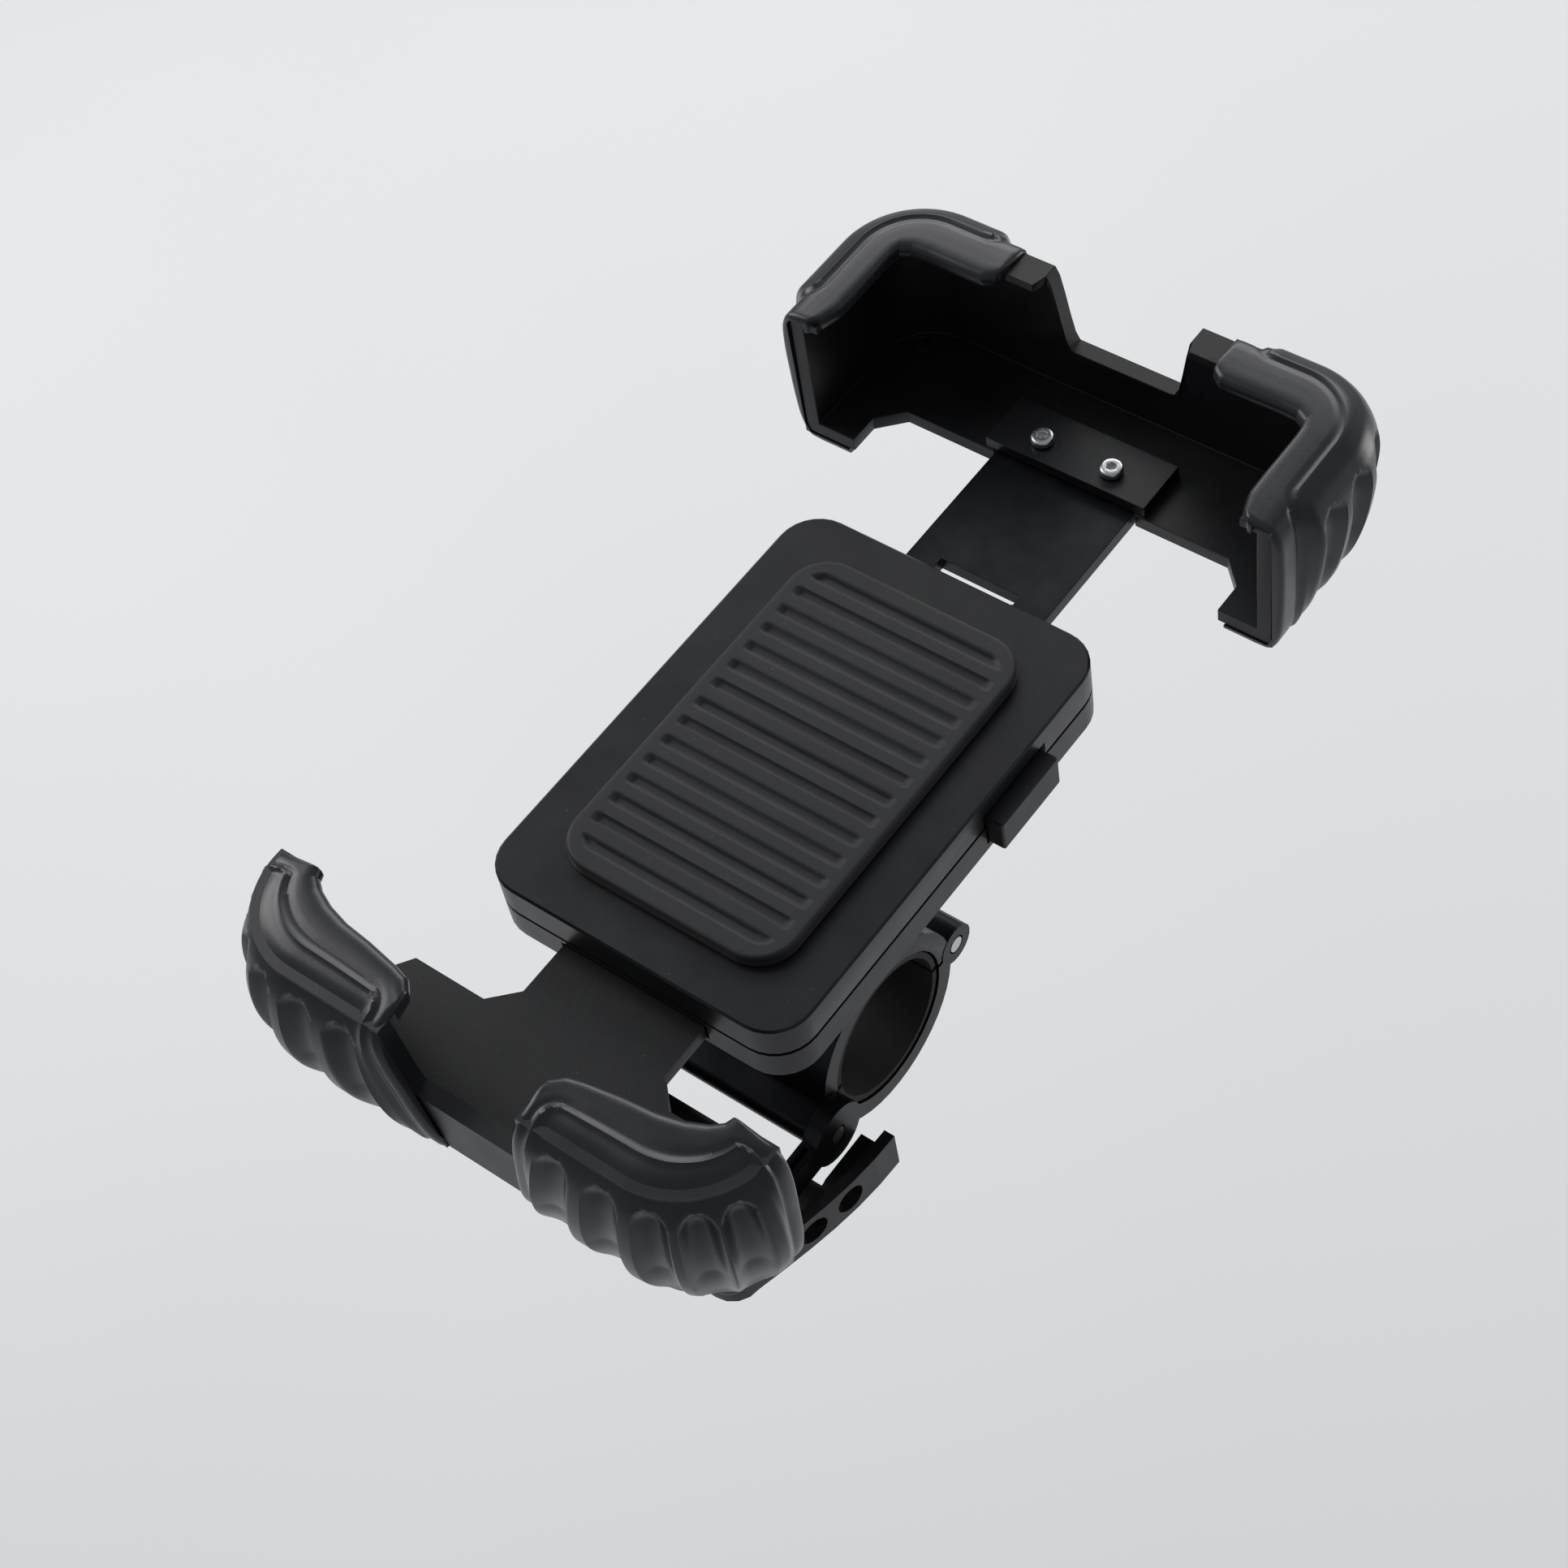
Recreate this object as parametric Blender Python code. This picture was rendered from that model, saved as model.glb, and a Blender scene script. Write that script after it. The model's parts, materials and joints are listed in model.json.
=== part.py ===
# A phone mount for a bicycle: a hinged clamp for a round handlebar, a ball joint with a
# lock ring, and a cradle whose sprung upper bracket closes on the phone.
# Metres. X runs along the handlebar, Y towards the phone's top edge, Z out of its screen.
# The origin is on the handlebar's axis, at the middle of the clamp.

import math

import bmesh
import bpy
from mathutils import Matrix, Vector

for item in list(bpy.data.objects):
    bpy.data.objects.remove(item)

# Clearances
GAP = 0.0003            # between pieces that touch
RUNNING = 0.0004        # between pieces that slide or turn
BACKLASH = 0.0005       # between the flanks of rack and pinion

# Facets round a full turn, and along a corner
SCREW_SIDES = 12
POST_SIDES = 16
PIN_SIDES = 20
ROUND_SIDES = 28
BORE_SIDES = 32
CORNER_STEPS = 6

# What the mount holds, and what it is clamped on
BAR_RADIUS = 0.0127
PHONE_WIDTH = 0.0795
PHONE_LENGTH = 0.1645
PHONE_THICKNESS = 0.0120

# Clamp
LINER = 0.0012
SADDLE_WALL = 0.0033
CLAMP_WIDTH = 0.0300
SPLIT = 0.0010          # gap between saddle and jaw
PLATFORM_RISE = 0.0010
PLATFORM_WIDTH = 0.0260
HINGE_PIN_RADIUS = 0.0015
HINGE_WALL = 0.0021
LATCH_PIN_RADIUS = 0.0015
LATCH_HUB_RADIUS = 0.0060
LATCH_ARM_WIDTH = 0.0030
LATCH_ARM_LENGTH = 0.0260
LATCH_ARM_HEIGHT = 0.0060
GRIP_LENGTH = 0.0360
GRIP_WALL = 0.0020
GRIP_HEIGHT = 0.0085
GRIP_FLARE = 0.0055
GRIP_CORNER = 0.0050
GRIP_HOLE_RADIUS = 0.0027
GRIP_HOLE_PITCH = 0.0078

# Ball joint
BALL_RADIUS = 0.0075
NECK_RADIUS = 0.0036
NECK_LENGTH = 0.0038
STUD_FLANGE = 0.0024
STUD_FLANGE_RADIUS = 0.0110
CUP_WALL = 0.0009
CUP_ANGLE = 60.0        # polar angles, measured from the top of the ball
LINER_STEP_ANGLE = 80.0
LINER_ANGLE = 125.0
SOCKET_LINER_WALL = 0.0014
DOME_WALL = 0.0015
HOUSING_RADIUS = 0.0160
HOUSING_FLANGE = 0.0042
HOUSING_FLANGE_RADIUS = 0.0262
HOUSING_SCREW_X = 0.0232
STUD_SCREW_X = 0.0078
RING_WALL = 0.0044
RING_LIP = 0.0015
RING_DROP = 0.0050      # how far the ring reaches below the middle of the ball
RING_RIBS = 22
RIB_DEPTH = 0.0008
RING_CHAMFER = 0.0009

# Body
BODY_HALF_WIDTH = 0.0290
BODY_BOTTOM_Y = -0.0360
BODY_TOP_Y = 0.0480
BODY_CORNER = 0.0070
FRONT_BEVEL = 0.0012
BODY_WALL = 0.0020
BODY_FLOOR = 0.0012
BODY_ROOF = 0.0017
BODY_HOLLOW = 0.0090
BODY_SPLIT = 0.0043     # height of the joint between the shells, above the floor
PAD_THICKNESS = 0.0020
PAD_HALF_WIDTH = 0.0210
PAD_MARGIN = 0.0080
SCREW_RADIUS = 0.0011
SCREW_HEAD_RADIUS = 0.0020
SCREW_HEAD = 0.0012
SCREW_HEAD_SIDE = 0.6        # share of the head's height with upright sides
SCREW_HEAD_CROWN = 0.75      # share of the head's radius that is flat on top
POST_WALL = 0.0015
POST_INSET = 0.0058       # from the body's sides to the corner screws

# Slide, rack and pinion
PLATE = 0.0026
TONGUE_HALF_WIDTH = 0.0135
TONGUE_END_Y = 0.0015
TONGUE_BAR = 0.0045
LOWER_TONGUE_DEPTH = 0.0098
TRAVEL_CLOSE = 0.0250
TRAVEL_OPEN = 0.0080
GEAR_MODULE = 0.0010
GEAR_TEETH = 12
PINION_Y = 0.0220
PINION_HUB_RADIUS = 0.0040
AXLE_RADIUS = 0.0015
PRESSURE_ANGLE = 20.0
ADDENDUM = 0.8          # tooth height above the pitch line, in modules
DEDENDUM = 1.2
SLOT_CLEARANCE = 0.0012
RACK_END = 0.2          # share of a tooth's pitch kept clear at the rack's ends
ROD_RADIUS = 0.0010
ROD_X = 0.0175
ROD_HEIGHT = 0.0050     # above the slide plate's lower face
SPRING_RADIUS = 0.0021
SPRING_WIRE = 0.0004
SPRING_TURNS = 11
EAR_LENGTH = 0.0040
EAR_WIDTH = 0.0033      # from the rod's axis to the ear's outer side

# Lock button
BUTTON_Y = 0.0220
BUTTON_LENGTH = 0.0150
BUTTON_HEIGHT = 0.0064
BUTTON_PROUD = 0.0030
BUTTON_TRAVEL = 0.0018
BUTTON_FLANGE = 0.0012
STEM_HEIGHT = 0.0021
SHOE_LENGTH = 0.0015
BUTTON_SPRING_RADIUS = 0.0012
BUTTON_WIRE = 0.0002
BUTTON_TURNS = 3

# Brackets: distances out from the line on which the phone's edge rests
SIDE_CLEARANCE = 0.0030
END_CLEARANCE = 0.0004
LOWER_REACH = 0.0324    # from the body's bottom edge to the lower hooks
HOOK_WALL = 0.0026
HOOK_LIP = 0.0030
HOOK_LIP_THICKNESS = 0.0016
CROSSBAR_HEIGHT = 0.0120
CROSSBAR_BEAD = 0.0005
LOWER_CORNER = 0.0120    # radius of the hooks' inner face in plan
UPPER_CORNER = 0.0090
FLANGE_DEPTH = 0.0185
FOOT_DEPTH = 0.0085
LOWER_ARM = 0.0132      # reach of the side arms along the phone's sides, past its end
UPPER_ARM = 0.0289
LOWER_HALF_GAP = 0.0126  # from the middle to a cover's inner end
UPPER_HALF_GAP = 0.0200
HOOK_RISE = 0.0040
RISE_STEPS = 5
UPPER_TAB = 0.0060

# Claw covers
COVER_WALL = 0.0047
COVER_RIM = 0.0028
COVER_TOP = 0.0015
COVER_BOTTOM = 0.0013
COVER_FLANGE = 0.0060
COVER_LIP_END = 0.0075
COVER_LIP_SIDE = 0.0043
COVER_HEEL = 0.06         # shares of the wall's height: the turned foot, the bulge and the shoulder
COVER_BULGE_LOW = 0.40
COVER_BULGE_HIGH = 0.64
COVER_SHOULDER = 0.86
COVER_EDGE = 0.98
RIVET_INSET = 0.0045
RIVET_RADIUS = 0.0030
RIVET_HEAD = 0.0026
RIVET_SHANK = 0.0014
RIVET_STEPS = 4

# Heights and places that follow
SADDLE_INNER = BAR_RADIUS + LINER + GAP
SADDLE_OUTER = SADDLE_INNER + SADDLE_WALL
PLATFORM_Z = SADDLE_OUTER + PLATFORM_RISE
STUD_Z = PLATFORM_Z + GAP
BALL_Z = STUD_Z + STUD_FLANGE + NECK_LENGTH + BALL_RADIUS
CUP_INNER = BALL_RADIUS + GAP
CUP_OUTER = CUP_INNER + CUP_WALL
LINER_INNER = CUP_OUTER + GAP
LINER_OUTER = LINER_INNER + SOCKET_LINER_WALL
SOCKET_INNER = LINER_OUTER + GAP
HOUSING_TOP = BALL_Z + SOCKET_INNER + DOME_WALL
BODY_Z = HOUSING_TOP + GAP
FLOOR_TOP = BODY_Z + BODY_FLOOR
PLATE_Z = FLOOR_TOP + GAP
PLATE_TOP = PLATE_Z + PLATE
KEEPER_TOP = PLATE_TOP + GAP + BODY_WALL
ROOF_Z = FLOOR_TOP + BODY_HOLLOW
BODY_TOP = ROOF_Z + BODY_ROOF
PAD_Z = BODY_TOP + GAP
PHONE_BACK = PAD_Z + PAD_THICKNESS + GAP
PHONE_FRONT = PHONE_BACK + PHONE_THICKNESS
LIP_Z = PHONE_FRONT + GAP
LIP_TOP = LIP_Z + HOOK_LIP_THICKNESS
ROD_Z = PLATE_Z + ROD_HEIGHT
GEAR_RADIUS = GEAR_MODULE * GEAR_TEETH / 2
SLOT_SIDE = GEAR_RADIUS + ADDENDUM * GEAR_MODULE + SLOT_CLEARANCE

HOOK_X = PHONE_WIDTH / 2 + SIDE_CLEARANCE
LOWER_Y = BODY_BOTTOM_Y - LOWER_REACH
PHONE_MIDDLE_Y = LOWER_Y + END_CLEARANCE + PHONE_LENGTH / 2
UPPER_Y = PHONE_MIDDLE_Y + PHONE_LENGTH / 2 + END_CLEARANCE
LOWER_INNER_Y = BODY_BOTTOM_Y + LOWER_TONGUE_DEPTH

HINGE_Y = SADDLE_OUTER + HINGE_PIN_RADIUS + GAP
LATCH_Y = -(SADDLE_OUTER + LATCH_PIN_RADIUS + GAP)
LATCH_Z = -0.0030
LUG_RADIUS = HINGE_PIN_RADIUS + GAP + HINGE_WALL
SHOE_X = TONGUE_HALF_WIDTH + RUNNING + BUTTON_TRAVEL
BUTTON_BACK = BODY_HALF_WIDTH - BODY_WALL - GAP - BUTTON_FLANGE
SPRING_RIB_X = ROD_X + EAR_WIDTH + RUNNING + SHOE_LENGTH


def material(name, colour, roughness, metallic=0.0):
    made = bpy.data.materials.new(name)
    made.use_nodes = True
    shader = made.node_tree.nodes["Principled BSDF"]
    shader.inputs["Base Color"].default_value = (*colour, 1.0)
    shader.inputs["Roughness"].default_value = roughness
    shader.inputs["Metallic"].default_value = metallic
    return made


MOULDED = material("glass_filled_nylon", (0.020, 0.020, 0.022), 0.48)
SHELL = material("abs_shell", (0.028, 0.029, 0.032), 0.40)
RUBBER = material("claw_rubber", (0.026, 0.027, 0.030), 0.62)
LINING = material("liner_rubber", (0.012, 0.012, 0.012), 0.80)
SILICONE = material("pad_silicone", (0.016, 0.016, 0.017), 0.70)
ACETAL = material("acetal", (0.60, 0.60, 0.57), 0.35)
STEEL = material("stainless_steel", (0.56, 0.56, 0.57), 0.28, 1.0)
SPRING_STEEL = material("spring_steel", (0.40, 0.40, 0.42), 0.30, 1.0)
ALLOY = material("anodised_aluminium", (0.045, 0.045, 0.050), 0.38, 1.0)


# Mesh building

def mesh_object(name, verts, faces, finish):
    # A closed mesh, with its faces turned outwards.
    mesh = bpy.data.meshes.new(name)
    mesh.from_pydata([tuple(point) for point in verts], [], faces)
    shell = bmesh.new()
    shell.from_mesh(mesh)
    bmesh.ops.recalc_face_normals(shell, faces=shell.faces)
    shell.to_mesh(mesh)
    shell.free()
    mesh.materials.append(finish)
    made = bpy.data.objects.new(name, mesh)
    bpy.context.scene.collection.objects.link(made)
    return made


def smooth(obj, angle=35.0):
    obj.data.shade_smooth()
    obj.data.set_sharp_from_angle(angle=math.radians(angle))
    return obj


def loft(name, rings, finish, closed=False):
    # Rings of equal length joined one after the other. The two ends are capped unless the
    # rings close on themselves.
    size = len(rings[0])
    verts = [point for ring in rings for point in ring]
    spans = len(rings) if closed else len(rings) - 1
    faces = []
    for i in range(spans):
        here = i * size
        after = (i + 1) % len(rings) * size
        for j in range(size):
            k = (j + 1) % size
            faces.append((here + j, here + k, after + k, after + j))
    if not closed:
        faces.append(tuple(reversed(range(size))))
        faces.append(tuple(range(len(verts) - size, len(verts))))
    return mesh_object(name, verts, faces, finish)


def prism(name, outline, low, high, finish):
    # An outline in X and Y, raised from one height to another.
    rings = [[(x, y, z) for x, y in outline] for z in (low, high)]
    return loft(name, rings, finish)


def block(name, low, high, finish):
    corners = [(low[0], low[1]), (high[0], low[1]), (high[0], high[1]), (low[0], high[1])]
    return prism(name, corners, low[2], high[2], finish)


def turned(name, profile, finish, steps=ROUND_SIDES, centre=(0.0, 0.0)):
    # A closed profile of (radius, height) spun about a vertical axis. Points on the axis
    # become one vertex each.
    verts = []
    index = []
    for radius, height in profile:
        if radius == 0.0:
            verts.append((centre[0], centre[1], height))
            index.append([len(verts) - 1] * steps)
            continue
        start = len(verts)
        for i in range(steps):
            turn = 2 * math.pi * i / steps
            x = centre[0] + radius * math.cos(turn)
            y = centre[1] + radius * math.sin(turn)
            verts.append((x, y, height))
        index.append(list(range(start, start + steps)))
    faces = []
    for j in range(len(profile)):
        k = (j + 1) % len(profile)
        if profile[j][0] == 0.0 and profile[k][0] == 0.0:
            continue
        for i in range(steps):
            n = (i + 1) % steps
            corners = [index[j][i], index[j][n], index[k][n], index[k][i]]
            faces.append(tuple(dict.fromkeys(corners)))
    return smooth(mesh_object(name, verts, faces, finish))


def rod(name, start, end, radius, finish, steps=POST_SIDES):
    start = Vector(start)
    end = Vector(end)
    turn = (end - start).to_track_quat("Z", "Y")
    rings = []
    for centre in (start, end):
        ring = []
        for i in range(steps):
            angle = 2 * math.pi * i / steps
            spoke = Vector((radius * math.cos(angle), radius * math.sin(angle), 0.0))
            ring.append(centre + turn @ spoke)
        rings.append(ring)
    return smooth(loft(name, rings, finish))


def across(name, outline, half_width, finish):
    # An outline in Y and Z, raised along X on both sides of the middle.
    rings = []
    for x in (-half_width, half_width):
        rings.append([(x, y, z) for y, z in outline])
    return loft(name, rings, finish)


def arc(centre, radius, first, last, steps):
    points = []
    for i in range(steps + 1):
        angle = math.radians(first + (last - first) * i / steps)
        points.append((centre[0] + radius * math.cos(angle), centre[1] + radius * math.sin(angle)))
    return points


def rounded(low, high, radius, steps=CORNER_STEPS + 1):
    # A rectangle with round corners, counter-clockwise.
    points = arc((high[0] - radius, low[1] + radius), radius, -90, 0, steps)
    points += arc((high[0] - radius, high[1] - radius), radius, 0, 90, steps)
    points += arc((low[0] + radius, high[1] - radius), radius, 90, 180, steps)
    points += arc((low[0] + radius, low[1] + radius), radius, 180, 270, steps)
    return points


def boolean(target, tool, operation):
    modifier = target.modifiers.new(operation.lower(), "BOOLEAN")
    modifier.operation = operation
    modifier.solver = "EXACT"
    modifier.object = tool
    tool.hide_render = True
    tool.display_type = "WIRE"


def cut(target, *tools):
    for tool in tools:
        boolean(target, tool, "DIFFERENCE")
    return target


def add(target, *tools):
    for tool in tools:
        boolean(target, tool, "UNION")
    return target


def bevel(obj, width, segments=1, angle=60.0):
    modifier = obj.modifiers.new("bevel", "BEVEL")
    modifier.width = width
    modifier.segments = segments
    modifier.limit_method = "ANGLE"
    modifier.angle_limit = math.radians(angle)
    modifier.use_clamp_overlap = True
    return obj


def flipped(obj, name):
    # The same piece on the other side of the middle.
    mesh = obj.data.copy()
    mesh.transform(Matrix.Scale(-1.0, 4, Vector((1.0, 0.0, 0.0))))
    mesh.flip_normals()
    made = bpy.data.objects.new(name, mesh)
    bpy.context.scene.collection.objects.link(made)
    return made


def screw(name, x, y, head_z, end_z, finish=STEEL):
    # A pan-head screw whose head rests on head_z and whose shank reaches end_z.
    up = 1.0 if head_z > end_z else -1.0
    top = head_z + up * SCREW_HEAD
    profile = [
        (0.0, end_z),
        (SCREW_RADIUS, end_z),
        (SCREW_RADIUS, head_z),
        (SCREW_HEAD_RADIUS, head_z),
        (SCREW_HEAD_RADIUS, head_z + up * SCREW_HEAD_SIDE * SCREW_HEAD),
        (SCREW_HEAD_CROWN * SCREW_HEAD_RADIUS, top),
        (0.0, top),
    ]
    return turned(name, profile, finish, SCREW_SIDES, (x, y))


# Clamp

def half_ring(inner, outer, first, last, steps=PIN_SIDES):
    # Part of a ring round the bar, as an outline in Y and Z.
    return arc((0.0, 0.0), outer, first, last, steps) + arc((0.0, 0.0), inner, last, first, steps)


def split_angle(radius):
    return math.degrees(math.asin(SPLIT / 2 / radius))


def lined_half(name, inner, outer, up, half_width, finish):
    edge = split_angle(outer)
    if up:
        outline = half_ring(inner, outer, edge, 180 - edge)
    else:
        outline = half_ring(inner, outer, 180 + edge, 360 - edge)
    return across(name, outline, half_width, finish)


def make_clamp():
    half = CLAMP_WIDTH / 2
    third = CLAMP_WIDTH / 6
    slim = half - GAP
    smooth(lined_half("saddle_liner", BAR_RADIUS, BAR_RADIUS + LINER, True, slim, LINING))
    smooth(lined_half("jaw_liner", BAR_RADIUS, BAR_RADIUS + LINER, False, slim, LINING))

    saddle = lined_half("clamp_saddle", SADDLE_INNER, SADDLE_OUTER, True, half, ALLOY)
    reach = PLATFORM_WIDTH / 2
    low = math.sqrt(SADDLE_OUTER ** 2 - reach ** 2) - SADDLE_WALL / 3
    platform = block("platform", (-reach, -reach, low), (reach, reach, PLATFORM_Z), ALLOY)
    bore = rod("platform_bore", (-half, 0.0, 0.0), (half, 0.0, 0.0), SADDLE_INNER, ALLOY, BORE_SIDES)
    cut(platform, bore)
    knuckle = rod("saddle_knuckle", (-third + RUNNING, HINGE_Y, 0.0), (third - RUNNING, HINGE_Y, 0.0),
                  LUG_RADIUS, ALLOY, PIN_SIDES)
    trim = rod("knuckle_trim", (-half, 0.0, 0.0), (half, 0.0, 0.0), SADDLE_INNER + GAP, ALLOY, BORE_SIDES)
    cut(knuckle, trim)
    pin_bore = rod("saddle_pin_bore", (-half, HINGE_Y, 0.0), (half, HINGE_Y, 0.0),
                   HINGE_PIN_RADIUS + GAP, ALLOY, PIN_SIDES)
    add(saddle, platform, knuckle)
    clear = []
    for side in (-1, 1):
        start = (side * third, HINGE_Y, 0.0)
        end = (side * (half + GAP), HINGE_Y, 0.0)
        clear.append(rod(f"saddle_clear_{side}", start, end, LUG_RADIUS + RUNNING, ALLOY, PIN_SIDES))
    cut(saddle, *clear, pin_bore)
    for side in (-1, 1):
        x = side * STUD_SCREW_X
        bore = rod(f"stud_hole_{side}", (x, 0.0, SADDLE_INNER - GAP), (x, 0.0, PLATFORM_Z + GAP),
                   SCREW_RADIUS + GAP, ALLOY, SCREW_SIDES)
        cut(saddle, bore)

    jaw = lined_half("clamp_jaw", SADDLE_INNER, SADDLE_OUTER, False, half, ALLOY)
    for side in (-1, 1):
        start = (side * (third + RUNNING), HINGE_Y, 0.0)
        end = (side * half, HINGE_Y, 0.0)
        lug = rod(f"jaw_knuckle_{side}", start, end, LUG_RADIUS, ALLOY, PIN_SIDES)
        cut(lug, rod(f"jaw_trim_{side}", (-half, 0.0, 0.0), (half, 0.0, 0.0),
                     SADDLE_INNER + GAP, ALLOY, BORE_SIDES))
        add(jaw, lug)
    clear = rod("jaw_clear", (-third, HINGE_Y, 0.0), (third, HINGE_Y, 0.0),
                LUG_RADIUS + RUNNING, ALLOY, PIN_SIDES)
    bore = rod("jaw_pin_bore", (-half - GAP, HINGE_Y, 0.0), (half + GAP, HINGE_Y, 0.0),
               HINGE_PIN_RADIUS + GAP, ALLOY, PIN_SIDES)
    lug = rod("latch_lug", (-half, LATCH_Y, LATCH_Z), (half, LATCH_Y, LATCH_Z),
              LUG_RADIUS, ALLOY, PIN_SIDES)
    room = rod("lug_room", (-half - GAP, 0.0, 0.0), (half + GAP, 0.0, 0.0),
               SADDLE_INNER + GAP, ALLOY, BORE_SIDES)
    cut(lug, room)
    add(jaw, lug)
    latch_bore = rod("latch_bore", (-half - GAP, LATCH_Y, LATCH_Z), (half + GAP, LATCH_Y, LATCH_Z),
                     LATCH_PIN_RADIUS + GAP, ALLOY, PIN_SIDES)
    over = block("split_clear", (-half - GAP, LATCH_Y - LUG_RADIUS - GAP, -SPLIT / 2),
                 (half + GAP, 0.0, LUG_RADIUS), ALLOY)
    cut(jaw, clear, bore, latch_bore, over)

    rod("jaw_hinge_pin", (-half, HINGE_Y, 0.0), (half, HINGE_Y, 0.0), HINGE_PIN_RADIUS, STEEL)
    end = half + RUNNING + LATCH_ARM_WIDTH
    rod("latch_pin", (-end, LATCH_Y, LATCH_Z), (end, LATCH_Y, LATCH_Z), LATCH_PIN_RADIUS, STEEL)


def make_latch():
    # A frame of two arms with round hubs on the pin, joined in front by a bridge, and a
    # perforated grip that flares from the frame's front end towards the bar.
    half = CLAMP_WIDTH / 2
    near = half + RUNNING
    top = LATCH_Z + LATCH_ARM_HEIGHT / 2
    tip = LATCH_Y - LATCH_ARM_LENGTH
    wide = near + LATCH_ARM_WIDTH
    ease = LATCH_ARM_WIDTH
    outline = arc((-wide + ease, tip), ease, 180, 270, 4) + arc((wide - ease, tip), ease, 270, 360, 4)
    bridge = prism("latch_frame", outline + [(wide, tip + GAP), (-wide, tip + GAP)],
                   top - LATCH_ARM_HEIGHT, top, ALLOY)
    for side in (-1, 1):
        inner = side * near
        outer = side * (near + LATCH_ARM_WIDTH)
        hub = rod(f"latch_hub_{side}", (inner, LATCH_Y, LATCH_Z), (outer, LATCH_Y, LATCH_Z),
                  LATCH_HUB_RADIUS, ALLOY, ROUND_SIDES)
        arm = block(f"latch_arm_{side}", (min(inner, outer), tip - GAP, top - LATCH_ARM_HEIGHT),
                    (max(inner, outer), LATCH_Y, top), ALLOY)
        groove = block(f"latch_groove_{side}",
                       (min(inner, outer) + LATCH_ARM_WIDTH / 3, tip, top - LATCH_ARM_WIDTH / 3),
                       (max(inner, outer) - LATCH_ARM_WIDTH / 3, LATCH_Y - LATCH_HUB_RADIUS, top + GAP),
                       ALLOY)
        add(bridge, hub, arm)
        cut(bridge, groove)
    bore = rod("latch_frame_bore", (-near - 2 * LATCH_ARM_WIDTH, LATCH_Y, LATCH_Z),
               (near + 2 * LATCH_ARM_WIDTH, LATCH_Y, LATCH_Z), LATCH_PIN_RADIUS + GAP, ALLOY, PIN_SIDES)
    cut(bridge, bore)

    front = tip - LATCH_ARM_WIDTH - GAP - GRIP_WALL
    back = front + GRIP_LENGTH
    slim = wide + GAP
    grip_top = top - LATCH_ARM_HEIGHT / 2
    grip_low = grip_top - GRIP_HEIGHT
    floor = min(grip_low + GRIP_WALL, top - LATCH_ARM_HEIGHT - GAP)
    outer = grip_outline(slim + GRIP_WALL, front, back, GRIP_CORNER)
    inner = grip_outline(slim, front + GRIP_WALL, back + GAP, GRIP_CORNER - GRIP_WALL)
    grip = prism("latch_grip", outer, grip_low, grip_top, MOULDED)
    hollow = prism("grip_hollow", inner, floor, grip_top + GAP, MOULDED)
    step = prism("grip_step", inner, top - LATCH_ARM_HEIGHT - GAP, grip_top + GAP, MOULDED)
    hub_room = block("hub_room", (-slim, LATCH_Y - LATCH_HUB_RADIUS - RUNNING, grip_low - GAP),
                     (slim, back + GAP, grip_top + GAP), MOULDED)
    cut(grip, hollow, step, hub_room)
    for i in range(3):
        y = front + GRIP_CORNER + GRIP_HOLE_PITCH * (i + 0.5)
        z = (grip_top + grip_low) / 2
        hole = rod(f"grip_hole_{i}", (-2 * wide, y, z), (2 * wide, y, z),
                   GRIP_HOLE_RADIUS, MOULDED, PIN_SIDES)
        cut(grip, hole)


def grip_outline(slim, front, back, corner):
    # A curved flare: narrow in front, wide at the back, with round front corners.
    side = []
    for i in range(CORNER_STEPS + 1):
        part = i / CORNER_STEPS
        x = slim + GRIP_FLARE * math.sin(part * math.pi / 2)
        side.append((x, front + corner + (back - front - corner) * part))
    right = arc((slim - corner, front + corner), corner, -90, 0, 4)[:-1] + side
    return right + [(-x, y) for x, y in reversed(right)]


# Ball joint

def sphere_arc(radius, first, last, steps):
    # Points of a sphere about the ball's centre, between two polar angles from the top.
    points = []
    for i in range(steps + 1):
        angle = math.radians(first + (last - first) * i / steps)
        points.append((radius * math.sin(angle), BALL_Z + radius * math.cos(angle)))
    return points


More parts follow.
